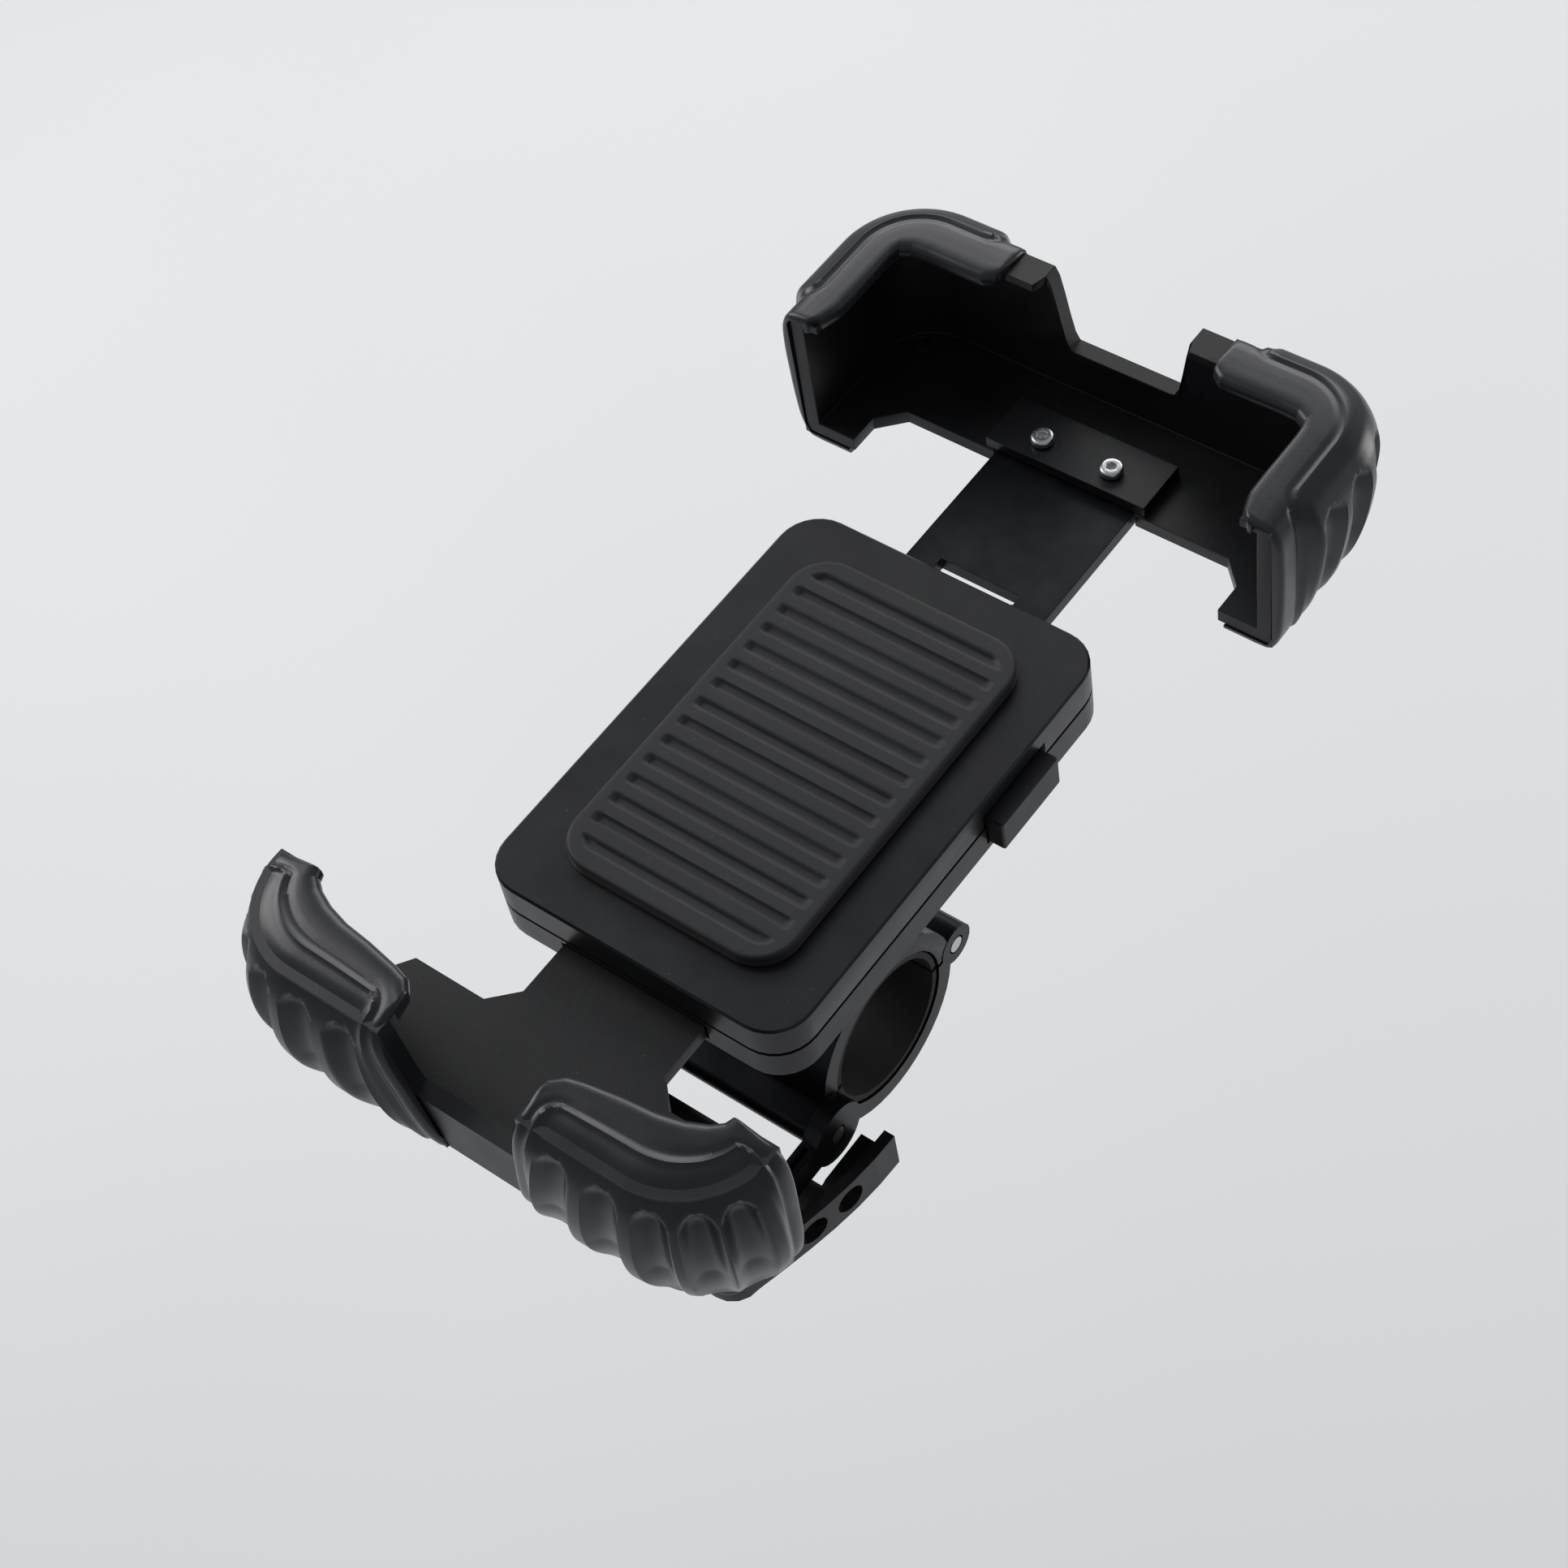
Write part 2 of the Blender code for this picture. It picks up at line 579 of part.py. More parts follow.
def make_ball_joint():
    flange_top = STUD_Z + STUD_FLANGE
    waist = math.degrees(math.asin(NECK_RADIUS / BALL_RADIUS))
    profile = [(0.0, STUD_Z), (STUD_FLANGE_RADIUS, STUD_Z), (STUD_FLANGE_RADIUS, flange_top)]
    profile += [(NECK_RADIUS, flange_top)]
    profile += sphere_arc(BALL_RADIUS, 180 - waist, 0, 10)[:-1]
    profile += [(0.0, BALL_Z + BALL_RADIUS)]
    stud = turned("ball_stud", profile, STEEL)
    for side in (-1, 1):
        x = side * STUD_SCREW_X
        hole = rod(f"flange_hole_{side}", (x, 0.0, STUD_Z - GAP), (x, 0.0, flange_top + GAP),
                   SCREW_RADIUS + GAP, STEEL, SCREW_SIDES)
        cut(stud, hole)
        name = "stud_screw_left" if side < 0 else "stud_screw_right"
        screw(name, x, 0.0, flange_top + GAP, SADDLE_INNER + GAP)

    inside = sphere_arc(CUP_INNER, 0, CUP_ANGLE, 5)
    outside = sphere_arc(CUP_OUTER, CUP_ANGLE, 0, 5)
    inside[0] = (0.0, BALL_Z + CUP_INNER)
    outside[-1] = (0.0, BALL_Z + CUP_OUTER)
    turned("friction_cup", inside + outside, ACETAL)

    wide = sphere_arc(LINER_INNER, 0, LINER_STEP_ANGLE, 5)
    wide[0] = (0.0, BALL_Z + LINER_INNER)
    close = sphere_arc(CUP_INNER, LINER_STEP_ANGLE, LINER_ANGLE, 3)
    outside = sphere_arc(LINER_OUTER, LINER_ANGLE, 0, 7)
    outside[-1] = (0.0, BALL_Z + LINER_OUTER)
    turned("socket_liner", wide + close + outside, LINING)

    low = BALL_Z - RING_DROP + RING_LIP + GAP
    dome = sphere_arc(SOCKET_INNER, 0, 90, 6)
    dome[0] = (0.0, BALL_Z + SOCKET_INNER)
    flange_low = HOUSING_TOP - HOUSING_FLANGE
    profile = dome + [(SOCKET_INNER, low), (HOUSING_RADIUS, low), (HOUSING_RADIUS, flange_low)]
    profile += [(HOUSING_FLANGE_RADIUS, flange_low), (HOUSING_FLANGE_RADIUS, HOUSING_TOP)]
    profile += [(0.0, HOUSING_TOP)]
    housing = turned("socket_housing", profile, MOULDED)
    for side in (-1, 1):
        x = side * HOUSING_SCREW_X
        hole = rod(f"housing_hole_{side}", (x, 0.0, flange_low + HOUSING_FLANGE / 2),
                   (x, 0.0, HOUSING_TOP + GAP), SCREW_RADIUS + GAP, MOULDED, SCREW_SIDES)
        cut(housing, hole)

    bottom = BALL_Z - RING_DROP
    grip = math.degrees(math.acos((low - GAP - BALL_Z) / SOCKET_INNER))
    edge = math.degrees(math.acos((bottom - BALL_Z) / SOCKET_INNER))
    lip = sphere_arc(SOCKET_INNER, edge, grip, 2)
    inner = HOUSING_RADIUS + GAP
    top = flange_low - GAP
    make_lock_ring(lip, inner, inner + RING_WALL, bottom, low - GAP, top)


def make_lock_ring(lip, inner, outer, bottom, shelf, top):
    # A turned ring with a lip under the liner, and rounded ribs round its outside.
    steps = RING_RIBS * 4
    rings = []
    for i in range(steps):
        turn = 2 * math.pi * i / steps
        rib = RIB_DEPTH * 0.5 * (1 - math.cos(RING_RIBS * turn))
        profile = [(radius, z) for radius, z in lip]
        profile += [(inner, shelf), (inner, top), (outer - RING_CHAMFER, top)]
        profile += [(outer - rib, top - RING_CHAMFER), (outer - rib, bottom + RING_CHAMFER)]
        profile += [(outer - RING_CHAMFER, bottom)]
        rings.append([(r * math.cos(turn), r * math.sin(turn), z) for r, z in profile])
    return smooth(loft("lock_ring", rings, MOULDED, closed=True))


# Body

def make_body():
    wide = BODY_HALF_WIDTH
    low = (-wide, BODY_BOTTOM_Y)
    high = (wide, BODY_TOP_Y)
    inset = BODY_WALL
    low_in = (-wide + inset, BODY_BOTTOM_Y + inset)
    high_in = (wide - inset, BODY_TOP_Y - inset)
    split = FLOOR_TOP + BODY_SPLIT

    back = prism("body_back", rounded(low, high, BODY_CORNER), BODY_Z, split - GAP / 2, SHELL)
    inside = rounded(low_in, high_in, BODY_CORNER - inset)
    hollow = prism("back_hollow", inside, FLOOR_TOP, split + GAP, SHELL)
    slot = block("tongue_slot", (-TONGUE_HALF_WIDTH - RUNNING, BODY_TOP_Y - 2 * inset, FLOOR_TOP),
                 (TONGUE_HALF_WIDTH + RUNNING, BODY_TOP_Y + inset, PLATE_TOP + RUNNING), SHELL)
    entry = block("bracket_slot", (-TONGUE_HALF_WIDTH - RUNNING, BODY_BOTTOM_Y - inset, FLOOR_TOP),
                  (TONGUE_HALF_WIDTH + RUNNING, BODY_BOTTOM_Y + 2 * inset, PLATE_TOP + RUNNING), SHELL)
    cut(back, hollow, slot, entry)

    front = prism("body_front", rounded(low, high, BODY_CORNER), split + GAP / 2, BODY_TOP, SHELL)
    hollow = prism("front_hollow", inside, split - GAP, ROOF_Z, SHELL)
    cut(front, hollow)

    # A window for the lock button through both shells.
    reach = BUTTON_LENGTH / 2 + RUNNING
    for shell in (back, front):
        window = block(f"window_{shell.name}", (wide - 2 * inset, BUTTON_Y - reach, PLATE_Z - GAP / 2),
                       (wide + inset, BUTTON_Y + reach, PLATE_Z + BUTTON_HEIGHT + RUNNING), SHELL)
        cut(shell, window)

    # Corner screws, from behind: a hole through the floor, a post in the front shell.
    for side in (-1, 1):
        for y in (BODY_BOTTOM_Y + POST_INSET, BODY_TOP_Y - POST_INSET):
            x = side * (wide - POST_INSET)
            where = f"{'left' if side < 0 else 'right'}_{'lower' if y < 0 else 'upper'}"
            post_radius = SCREW_RADIUS + POST_WALL
            post = rod(f"post_{where}", (x, y, split + GAP / 2), (x, y, ROOF_Z + BODY_ROOF / 2),
                       post_radius, SHELL, POST_SIDES)
            hole = rod(f"post_hole_{where}", (x, y, split - GAP), (x, y, ROOF_Z - GAP),
                       SCREW_RADIUS + GAP, SHELL, SCREW_SIDES)
            add(front, post)
            cut(front, hole)
            seat = rod(f"seat_{where}", (x, y, FLOOR_TOP - BODY_FLOOR / 2), (x, y, split - GAP / 2),
                       post_radius, SHELL, POST_SIDES)
            add(back, seat)
            cut(back, rod(f"seat_hole_{where}", (x, y, BODY_Z - GAP), (x, y, split + GAP),
                          SCREW_RADIUS + GAP, SHELL, SCREW_SIDES))
            cut(back, rod(f"head_room_{where}", (x, y, BODY_Z - GAP), (x, y, BODY_Z + SCREW_HEAD + GAP),
                          SCREW_HEAD_RADIUS + GAP, SHELL, POST_SIDES))
            screw(f"body_screw_{where}", x, y, BODY_Z + SCREW_HEAD, ROOF_Z - BODY_WALL)

    # Holes for the screws that fasten the housing from inside.
    for side in (-1, 1):
        x = side * HOUSING_SCREW_X
        cut(back, rod(f"floor_hole_{side}", (x, 0.0, BODY_Z - GAP), (x, 0.0, FLOOR_TOP + GAP),
                      SCREW_RADIUS + GAP, SHELL, SCREW_SIDES))
        name = "housing_screw_left" if side < 0 else "housing_screw_right"
        screw(name, x, 0.0, FLOOR_TOP + GAP, HOUSING_TOP - HOUSING_FLANGE / 2 + GAP)

    pad_low = (-PAD_HALF_WIDTH, BODY_BOTTOM_Y + PAD_MARGIN)
    pad_high = (PAD_HALF_WIDTH, BODY_TOP_Y - PAD_MARGIN)
    prism("centre_pad", rounded(pad_low, pad_high, BODY_CORNER), PAD_Z, PAD_Z + PAD_THICKNESS, SILICONE)
    bevel(front, FRONT_BEVEL)


# Slide, rack and pinion

def rack_side():
    # The toothed side of the slot, from its lower end to its upper end.
    pitch = math.pi * GEAR_MODULE
    line = GEAR_RADIUS + BACKLASH / 4
    tip = line - ADDENDUM * GEAR_MODULE
    root = line + DEDENDUM * GEAR_MODULE
    slope = math.tan(math.radians(PRESSURE_ANGLE))
    half = pitch / 4 - BACKLASH / 4
    start = TONGUE_END_Y + TONGUE_BAR
    end = PINION_Y + TRAVEL_CLOSE + TRAVEL_OPEN
    points = [(root, start)]
    first = math.ceil((start - PINION_Y) / pitch + RACK_END)
    last = math.floor((end - PINION_Y) / pitch - RACK_END)
    for i in range(first, last):
        middle = PINION_Y + (i + 0.5) * pitch
        at_root = half + (root - line) * slope
        at_tip = half - (line - tip) * slope
        points += [(root, middle - at_root), (tip, middle - at_tip)]
        points += [(tip, middle + at_tip), (root, middle + at_root)]
    points.append((root, end))
    return points


def pinion_outline():
    # Straight-flanked teeth, one of them pointing along +X.
    root = GEAR_RADIUS - DEDENDUM * GEAR_MODULE
    tip = GEAR_RADIUS + ADDENDUM * GEAR_MODULE
    half = math.pi * GEAR_MODULE / 4 - BACKLASH / 4
    slope = math.tan(math.radians(PRESSURE_ANGLE))
    points = []
    for i in range(GEAR_TEETH):
        middle = 2 * math.pi * i / GEAR_TEETH
        for radius, sign in ((root, -1), (tip, -1), (tip, 1), (root, 1)):
            across_tooth = half + (GEAR_RADIUS - radius) * slope
            angle = middle + sign * across_tooth / radius
            points.append((radius * math.cos(angle), PINION_Y + radius * math.sin(angle)))
    return points


def make_slide():
    top_y = UPPER_Y - FLANGE_DEPTH + FOOT_DEPTH
    wide = TONGUE_HALF_WIDTH
    ear_x = ROD_X + EAR_WIDTH
    ear_y = TONGUE_END_Y + EAR_LENGTH
    outline = [(-ear_x, TONGUE_END_Y), (ear_x, TONGUE_END_Y), (ear_x, ear_y), (wide, ear_y)]
    outline += [(wide, top_y), (-wide, top_y), (-wide, ear_y), (-ear_x, ear_y)]
    slide = prism("slide_plate", outline, PLATE_Z, PLATE_TOP, ALLOY)
    slot = [(-SLOT_SIDE, TONGUE_END_Y + TONGUE_BAR)]
    slot += rack_side()
    slot.append((-SLOT_SIDE, PINION_Y + TRAVEL_CLOSE + TRAVEL_OPEN))
    cut(slide, prism("rack_slot", slot, PLATE_Z - GAP, PLATE_TOP + GAP, ALLOY))
    for side in (-1, 1):
        x = side * ROD_X
        ear = block(f"ear_{side}", (x - EAR_WIDTH, TONGUE_END_Y, PLATE_TOP - PLATE / 2),
                    (x + EAR_WIDTH, ear_y, ROD_Z + ROD_RADIUS + BODY_WALL), ALLOY)
        bore = rod(f"ear_bore_{side}", (x, TONGUE_END_Y - GAP, ROD_Z), (x, ear_y + GAP, ROD_Z),
                   ROD_RADIUS + GAP, ALLOY, POST_SIDES)
        add(slide, ear)
        cut(slide, bore)

    pinion = prism("pinion", pinion_outline(), PLATE_Z, PLATE_TOP + PLATE / 2, ACETAL)
    hub = rod("pinion_hub", (0.0, PINION_Y, PLATE_TOP), (0.0, PINION_Y, ROOF_Z - GAP),
              PINION_HUB_RADIUS, ACETAL, ROUND_SIDES)
    bore = rod("pinion_bore", (0.0, PINION_Y, PLATE_Z - GAP), (0.0, PINION_Y, ROOF_Z + GAP),
               AXLE_RADIUS + GAP, ACETAL, PIN_SIDES)
    add(pinion, hub)
    cut(pinion, bore)
    rod("pinion_axle", (0.0, PINION_Y, PLATE_Z), (0.0, PINION_Y, ROOF_Z - GAP), AXLE_RADIUS, STEEL)

    rod_low = BODY_BOTTOM_Y + BODY_WALL + GAP
    rod_high = BODY_TOP_Y - BODY_WALL - GAP
    for side, word in ((-1, "left"), (1, "right")):
        x = side * ROD_X
        rod(f"guide_rod_{word}", (x, rod_low, ROD_Z), (x, rod_high, ROD_Z), ROD_RADIUS, STEEL, SCREW_SIDES)
        coil(f"return_spring_{word}", Vector((x, ear_y + GAP, ROD_Z)), Vector((x, rod_high, ROD_Z)),
             SPRING_RADIUS, SPRING_WIRE, SPRING_TURNS)


def coil(name, start, end, radius, wire, turns):
    # Round wire wound about the line from start to end.
    sides = 5
    per_turn = 8
    steps = turns * per_turn
    along = (end - start).normalized()
    first = along.cross(Vector((0.0, 0.0, 1.0)))
    second = along.cross(first)
    rise = (end - start).length - 2 * wire
    rings = []
    for i in range(steps + 1):
        turn = 2 * math.pi * i / per_turn
        outward = math.cos(turn) * first + math.sin(turn) * second
        centre = start + along * (wire + rise * i / steps) + radius * outward
        ring = []
        for k in range(sides):
            angle = 2 * math.pi * k / sides
            ring.append(centre + wire * (math.cos(angle) * outward + math.sin(angle) * along))
        rings.append(ring)
    return smooth(loft(name, rings, SPRING_STEEL))


# Lock button

def make_button():
    wide = BODY_HALF_WIDTH
    inside = wide - BODY_WALL
    low = BUTTON_Y - BUTTON_LENGTH / 2
    high = BUTTON_Y + BUTTON_LENGTH / 2
    button = block("lock_button", (inside - BUTTON_FLANGE / 2, low, PLATE_Z),
                   (wide + BUTTON_PROUD, high, PLATE_Z + BUTTON_HEIGHT), MOULDED)
    flange = block("button_flange", (BUTTON_BACK, low - BUTTON_FLANGE, PLATE_Z),
                   (inside - GAP, high + BUTTON_FLANGE, PLATE_Z + BUTTON_HEIGHT), MOULDED)
    stem = block("button_stem", (SHOE_X + SHOE_LENGTH + GAP, low + BODY_WALL, PLATE_Z),
                 (BUTTON_BACK + BUTTON_FLANGE / 2, high - BODY_WALL, PLATE_Z + STEM_HEIGHT), MOULDED)
    add(button, flange, stem)
    block("brake_shoe", (SHOE_X, low + BODY_WALL, PLATE_Z),
          (SHOE_X + SHOE_LENGTH, high - BODY_WALL, PLATE_Z + STEM_HEIGHT), LINING)
    rib = block("spring_rib", (SPRING_RIB_X - SHOE_LENGTH, BUTTON_Y - BODY_WALL, PLATE_TOP + GAP),
                (SPRING_RIB_X, BUTTON_Y + BODY_WALL, ROOF_Z + BODY_ROOF / 2), SHELL)
    add(bpy.data.objects["body_front"], rib)
    height = PLATE_Z + STEM_HEIGHT + BUTTON_SPRING_RADIUS + 4 * BUTTON_WIRE
    coil("button_spring", Vector((SPRING_RIB_X + GAP, BUTTON_Y, height)),
         Vector((BUTTON_BACK - GAP, BUTTON_Y, height)), BUTTON_SPRING_RADIUS, BUTTON_WIRE, BUTTON_TURNS)


# Brackets and covers

def corner_path(x_end, y_line, y_end, inward, radius, steps=CORNER_STEPS):
    # The right-hand half of a bracket, along the phone's edge: from the middle outwards,
    # round the corner and along the side. inward is +1 on the lower bracket, -1 on the upper.
    # Each point has its outward direction.
    centre = (HOOK_X - radius, y_line + inward * radius)
    path = [((x_end, y_line), (0.0, -inward))]
    path.append(((centre[0], y_line), (0.0, -inward)))
    for i in range(1, steps):
        angle = math.pi / 2 * i / steps
        out = (math.sin(angle), -inward * math.cos(angle))
        path.append(((centre[0] + radius * out[0], centre[1] + radius * out[1]), out))
    path.append(((HOOK_X, centre[1]), (1.0, 0.0)))
    path.append(((HOOK_X, y_end), (1.0, 0.0)))
    return path


def placed(path_point, section):
    (x, y), (out_x, out_y) = path_point
    return [(x + u * out_x, y + u * out_y, z) for u, z in section]


def hook_section(top, lip):
    under = top - HOOK_LIP_THICKNESS
    wall = [(0.0, PLATE_Z), (HOOK_WALL, PLATE_Z), (HOOK_WALL, top)]
    return wall + [(-lip, top), (-lip, under), (0.0, under)]


def blend(x, low, high):
    part = min(max((x - low) / (high - low), 0.0), 1.0)
    return part * part * (3 - 2 * part)


def bracket(name, y_line, y_end, inward, radius, rise_from, rise_to):
    # A wall round three sides: a low crossbar between two tall hooks with lips over the phone.
    # Where the wall rises it has no lip, so the phone's end stays clear.
    crossbar_top = PLATE_Z + CROSSBAR_HEIGHT
    step = (rise_to - rise_from) / RISE_STEPS
    ends = [rise_from + step * i for i in range(-1, RISE_STEPS + 2)]
    half = [((x, y_line), (0.0, -inward)) for x in [0.0] + ends]
    half += corner_path(ends[-1], y_line, y_end, inward, radius)[1:]
    rings = []
    for point in half:
        part = blend(point[0][0], rise_from, rise_to)
        if point[1][0] > 0.0:
            part = 1.0
        top = crossbar_top + (LIP_TOP - crossbar_top) * part
        lip = HOOK_LIP
        if point[0][0] < rise_to + step / 2 and point[1][0] == 0.0:
            lip = GAP
        if point[0][0] < rise_from - step / 2 and point[1][0] == 0.0:
            lip = CROSSBAR_BEAD
        rings.append(placed(point, hook_section(top, lip)))
    left = [[(-x, y, z) for x, y, z in ring] for ring in reversed(rings[1:])]
    return loft(name, left + rings, MOULDED)


def flange_outline(y_line, y_end, inward, radius, tongue_end):
    # The plate under the phone: along the wall, feet under the side arms, and a tongue.
    reach = HOOK_WALL / 2
    wide = HOOK_X + reach
    inner = y_line + inward * FLANGE_DEPTH
    foot = wide - FOOT_DEPTH
    ease = FOOT_DEPTH / 2
    right = arc((HOOK_X - radius, y_line + inward * radius), radius + reach, -90 * inward, 0, 6)
    right += [(wide, y_end)]
    if inward * (y_end - inner) > ease:
        right += [(foot, y_end), (foot, inner + inward * ease), (foot - ease, inner)]
    else:
        right += [(foot, y_end), (foot - ease, inner)]
    if inward * (tongue_end - inner) > ease:
        right += [(TONGUE_HALF_WIDTH + ease, inner), (TONGUE_HALF_WIDTH, inner + inward * ease)]
        right += [(TONGUE_HALF_WIDTH, tongue_end)]
    return right + [(-x, y) for x, y in reversed(right)]


def make_brackets():
    lower_end = LOWER_Y + LOWER_ARM
    upper_end = UPPER_Y - UPPER_ARM
    lower = bracket("lower_bracket", LOWER_Y, lower_end - 2 * GAP, 1.0, LOWER_CORNER,
                    LOWER_HALF_GAP - HOOK_RISE / 2, LOWER_HALF_GAP + HOOK_RISE / 2)
    upper = bracket("upper_bracket", UPPER_Y, upper_end + 2 * GAP, -1.0, UPPER_CORNER,
                    UPPER_HALF_GAP - UPPER_TAB - HOOK_RISE, UPPER_HALF_GAP - UPPER_TAB)
    outline = flange_outline(LOWER_Y, lower_end - 2 * GAP, 1.0, LOWER_CORNER, LOWER_INNER_Y)
    plate = prism("lower_plate", outline, PLATE_Z, PLATE_TOP, MOULDED)
    add(lower, plate)
    slide_end = UPPER_Y - FLANGE_DEPTH
    outline = flange_outline(UPPER_Y, upper_end + 2 * GAP, -1.0, UPPER_CORNER, slide_end)
    plate = prism("upper_plate", outline, PLATE_Z, PLATE_TOP, MOULDED)
    add(upper, plate)

    # The slide plate lies in a pocket of the upper bracket, with two screws through both.
    pocket_end = slide_end + FOOT_DEPTH + GAP
    pocket = block("slide_pocket", (-TONGUE_HALF_WIDTH - GAP, slide_end - FLANGE_DEPTH, PLATE_Z - GAP),
                   (TONGUE_HALF_WIDTH + GAP, pocket_end, PLATE_TOP + GAP), MOULDED)
    keeper = block("slide_keeper", (-TONGUE_HALF_WIDTH - BODY_WALL, slide_end + GAP, PLATE_TOP - PLATE / 2),
                   (TONGUE_HALF_WIDTH + BODY_WALL, pocket_end + BODY_WALL, KEEPER_TOP), MOULDED)
    add(upper, keeper)
    cut(upper, pocket)
    slide = bpy.data.objects["slide_plate"]

    for side, word in ((-1, "left"), (1, "right")):
        x = side * TONGUE_HALF_WIDTH / 2
        y = BODY_BOTTOM_Y + LOWER_TONGUE_DEPTH / 2
        cut(lower, rod(f"bracket_hole_{word}", (x, y, PLATE_Z - GAP), (x, y, PLATE_TOP + GAP),
                       SCREW_RADIUS + GAP, MOULDED, SCREW_SIDES))
        screw(f"bracket_screw_{word}", x, y, PLATE_TOP + GAP, PLATE_Z + GAP)
        y = slide_end + FOOT_DEPTH / 2
        hole = rod(f"slide_hole_{word}", (x, y, PLATE_Z - GAP), (x, y, KEEPER_TOP + GAP),
                   SCREW_RADIUS + GAP, MOULDED, SCREW_SIDES)
        cut(upper, hole)
        cut(slide, hole)
        screw(f"slide_screw_{word}", x, y, KEEPER_TOP + GAP, PLATE_Z + GAP)


def cover_section(lip):
    # Outwards from the phone's edge: flange under the bracket, bulging wall, lip over the phone.
    wall = HOOK_WALL + GAP
    outer = wall + COVER_WALL
    bottom = PLATE_Z - GAP
    top = LIP_TOP + GAP + COVER_TOP
    height = top - bottom
    return [
        (-COVER_FLANGE, bottom - COVER_BOTTOM),
        (wall + COVER_RIM / 3, bottom - COVER_BOTTOM),
        (wall + COVER_RIM, bottom + COVER_HEEL * height),
        (outer, bottom + COVER_BULGE_LOW * height),
        (outer, bottom + COVER_BULGE_HIGH * height),
        (wall + COVER_RIM, bottom + COVER_SHOULDER * height),
        (wall, bottom + COVER_EDGE * height),
        (-lip + COVER_TOP / 2, top),
        (-lip, top - COVER_TOP / 2),
        (-lip, LIP_Z + COVER_TOP / 2),
        (-lip + COVER_TOP / 2, LIP_Z),
        (-HOOK_LIP - GAP, LIP_Z),
        (-HOOK_LIP - GAP, LIP_TOP + GAP),
        (wall, LIP_TOP + GAP),
        (wall, bottom),
        (-COVER_FLANGE, bottom),
    ]


def cover(name, x_end, y_line, y_end, inward, radius):
    # One rubber claw, swept round the right-hand corner. The lip narrows from the end to the side.
    rings = []
    for point in corner_path(x_end, y_line, y_end, inward, radius):
        part = blend(point[1][0], 0.0, 1.0)
        lip = COVER_LIP_END + (COVER_LIP_SIDE - COVER_LIP_END) * part
        rings.append(placed(point, cover_section(lip)))
    return smooth(loft(name, rings, RUBBER), 30.0)


def make_covers():
    lower_end = LOWER_Y + LOWER_ARM
    upper_end = UPPER_Y - UPPER_ARM
    claws = (("lower", LOWER_HALF_GAP, LOWER_Y, lower_end, 1.0, LOWER_CORNER),
             ("upper", UPPER_HALF_GAP, UPPER_Y, upper_end, -1.0, UPPER_CORNER))
    for word, x_end, y_line, y_end, inward, radius in claws:
        right = cover(f"claw_cover_{word}_right", x_end, y_line, y_end, inward, radius)
        x = HOOK_X - RIVET_INSET
        y = y_line + inward * RIVET_INSET
        bracket_part = bpy.data.objects[f"{word}_bracket"]
        holes = []
        for side in (-1, 1):
            hole = rod(f"rivet_hole_{word}_{side}", (side * x, y, PLATE_Z - COVER_BOTTOM - 2 * GAP),
                       (side * x, y, PLATE_TOP + GAP), RIVET_SHANK + GAP, RUBBER, POST_SIDES)
            cut(bracket_part, hole)
            holes.append(hole)
        left = flipped(right, f"claw_cover_{word}_left")
        cut(right, holes[1])
        cut(left, holes[0])
        for side, hand in ((-1, "left"), (1, "right")):
            rivet(f"cover_rivet_{word}_{hand}", side * x, y)


def rivet(name, x, y):
    # A round rivet: its domed head under the cover's flange, its shank up through the bracket.
    seat = PLATE_Z - GAP - COVER_BOTTOM - GAP
    dome = [math.pi / 2 * i / RIVET_STEPS for i in range(RIVET_STEPS)]
    profile = [(RIVET_RADIUS * math.sin(turn), seat - RIVET_HEAD * math.cos(turn)) for turn in dome]
    profile += [(RIVET_RADIUS, seat), (RIVET_SHANK, seat)]
    profile += [(RIVET_SHANK, PLATE_TOP - GAP), (0.0, PLATE_TOP - GAP)]
    return turned(name, profile, MOULDED, PIN_SIDES, (x, y))


def hang(place, *names):
    # The pieces' origins go on their joint's axis.
    for name in names:
        piece = bpy.data.objects[name]
        piece.data.transform(Matrix.Translation(-place))
        piece.location = place


make_clamp()
make_latch()
make_ball_joint()
make_body()
make_slide()
make_button()
make_brackets()
make_covers()
hang(Vector((0.0, HINGE_Y, 0.0)), "clamp_jaw", "jaw_liner", "latch_pin")
hang(Vector((0.0, LATCH_Y, LATCH_Z)), "latch_frame", "latch_grip")
hang(Vector((0.0, 0.0, BALL_Z)), "friction_cup", "socket_liner", "socket_housing", "lock_ring")
hang(Vector((0.0, PINION_Y, PLATE_Z)), "pinion")
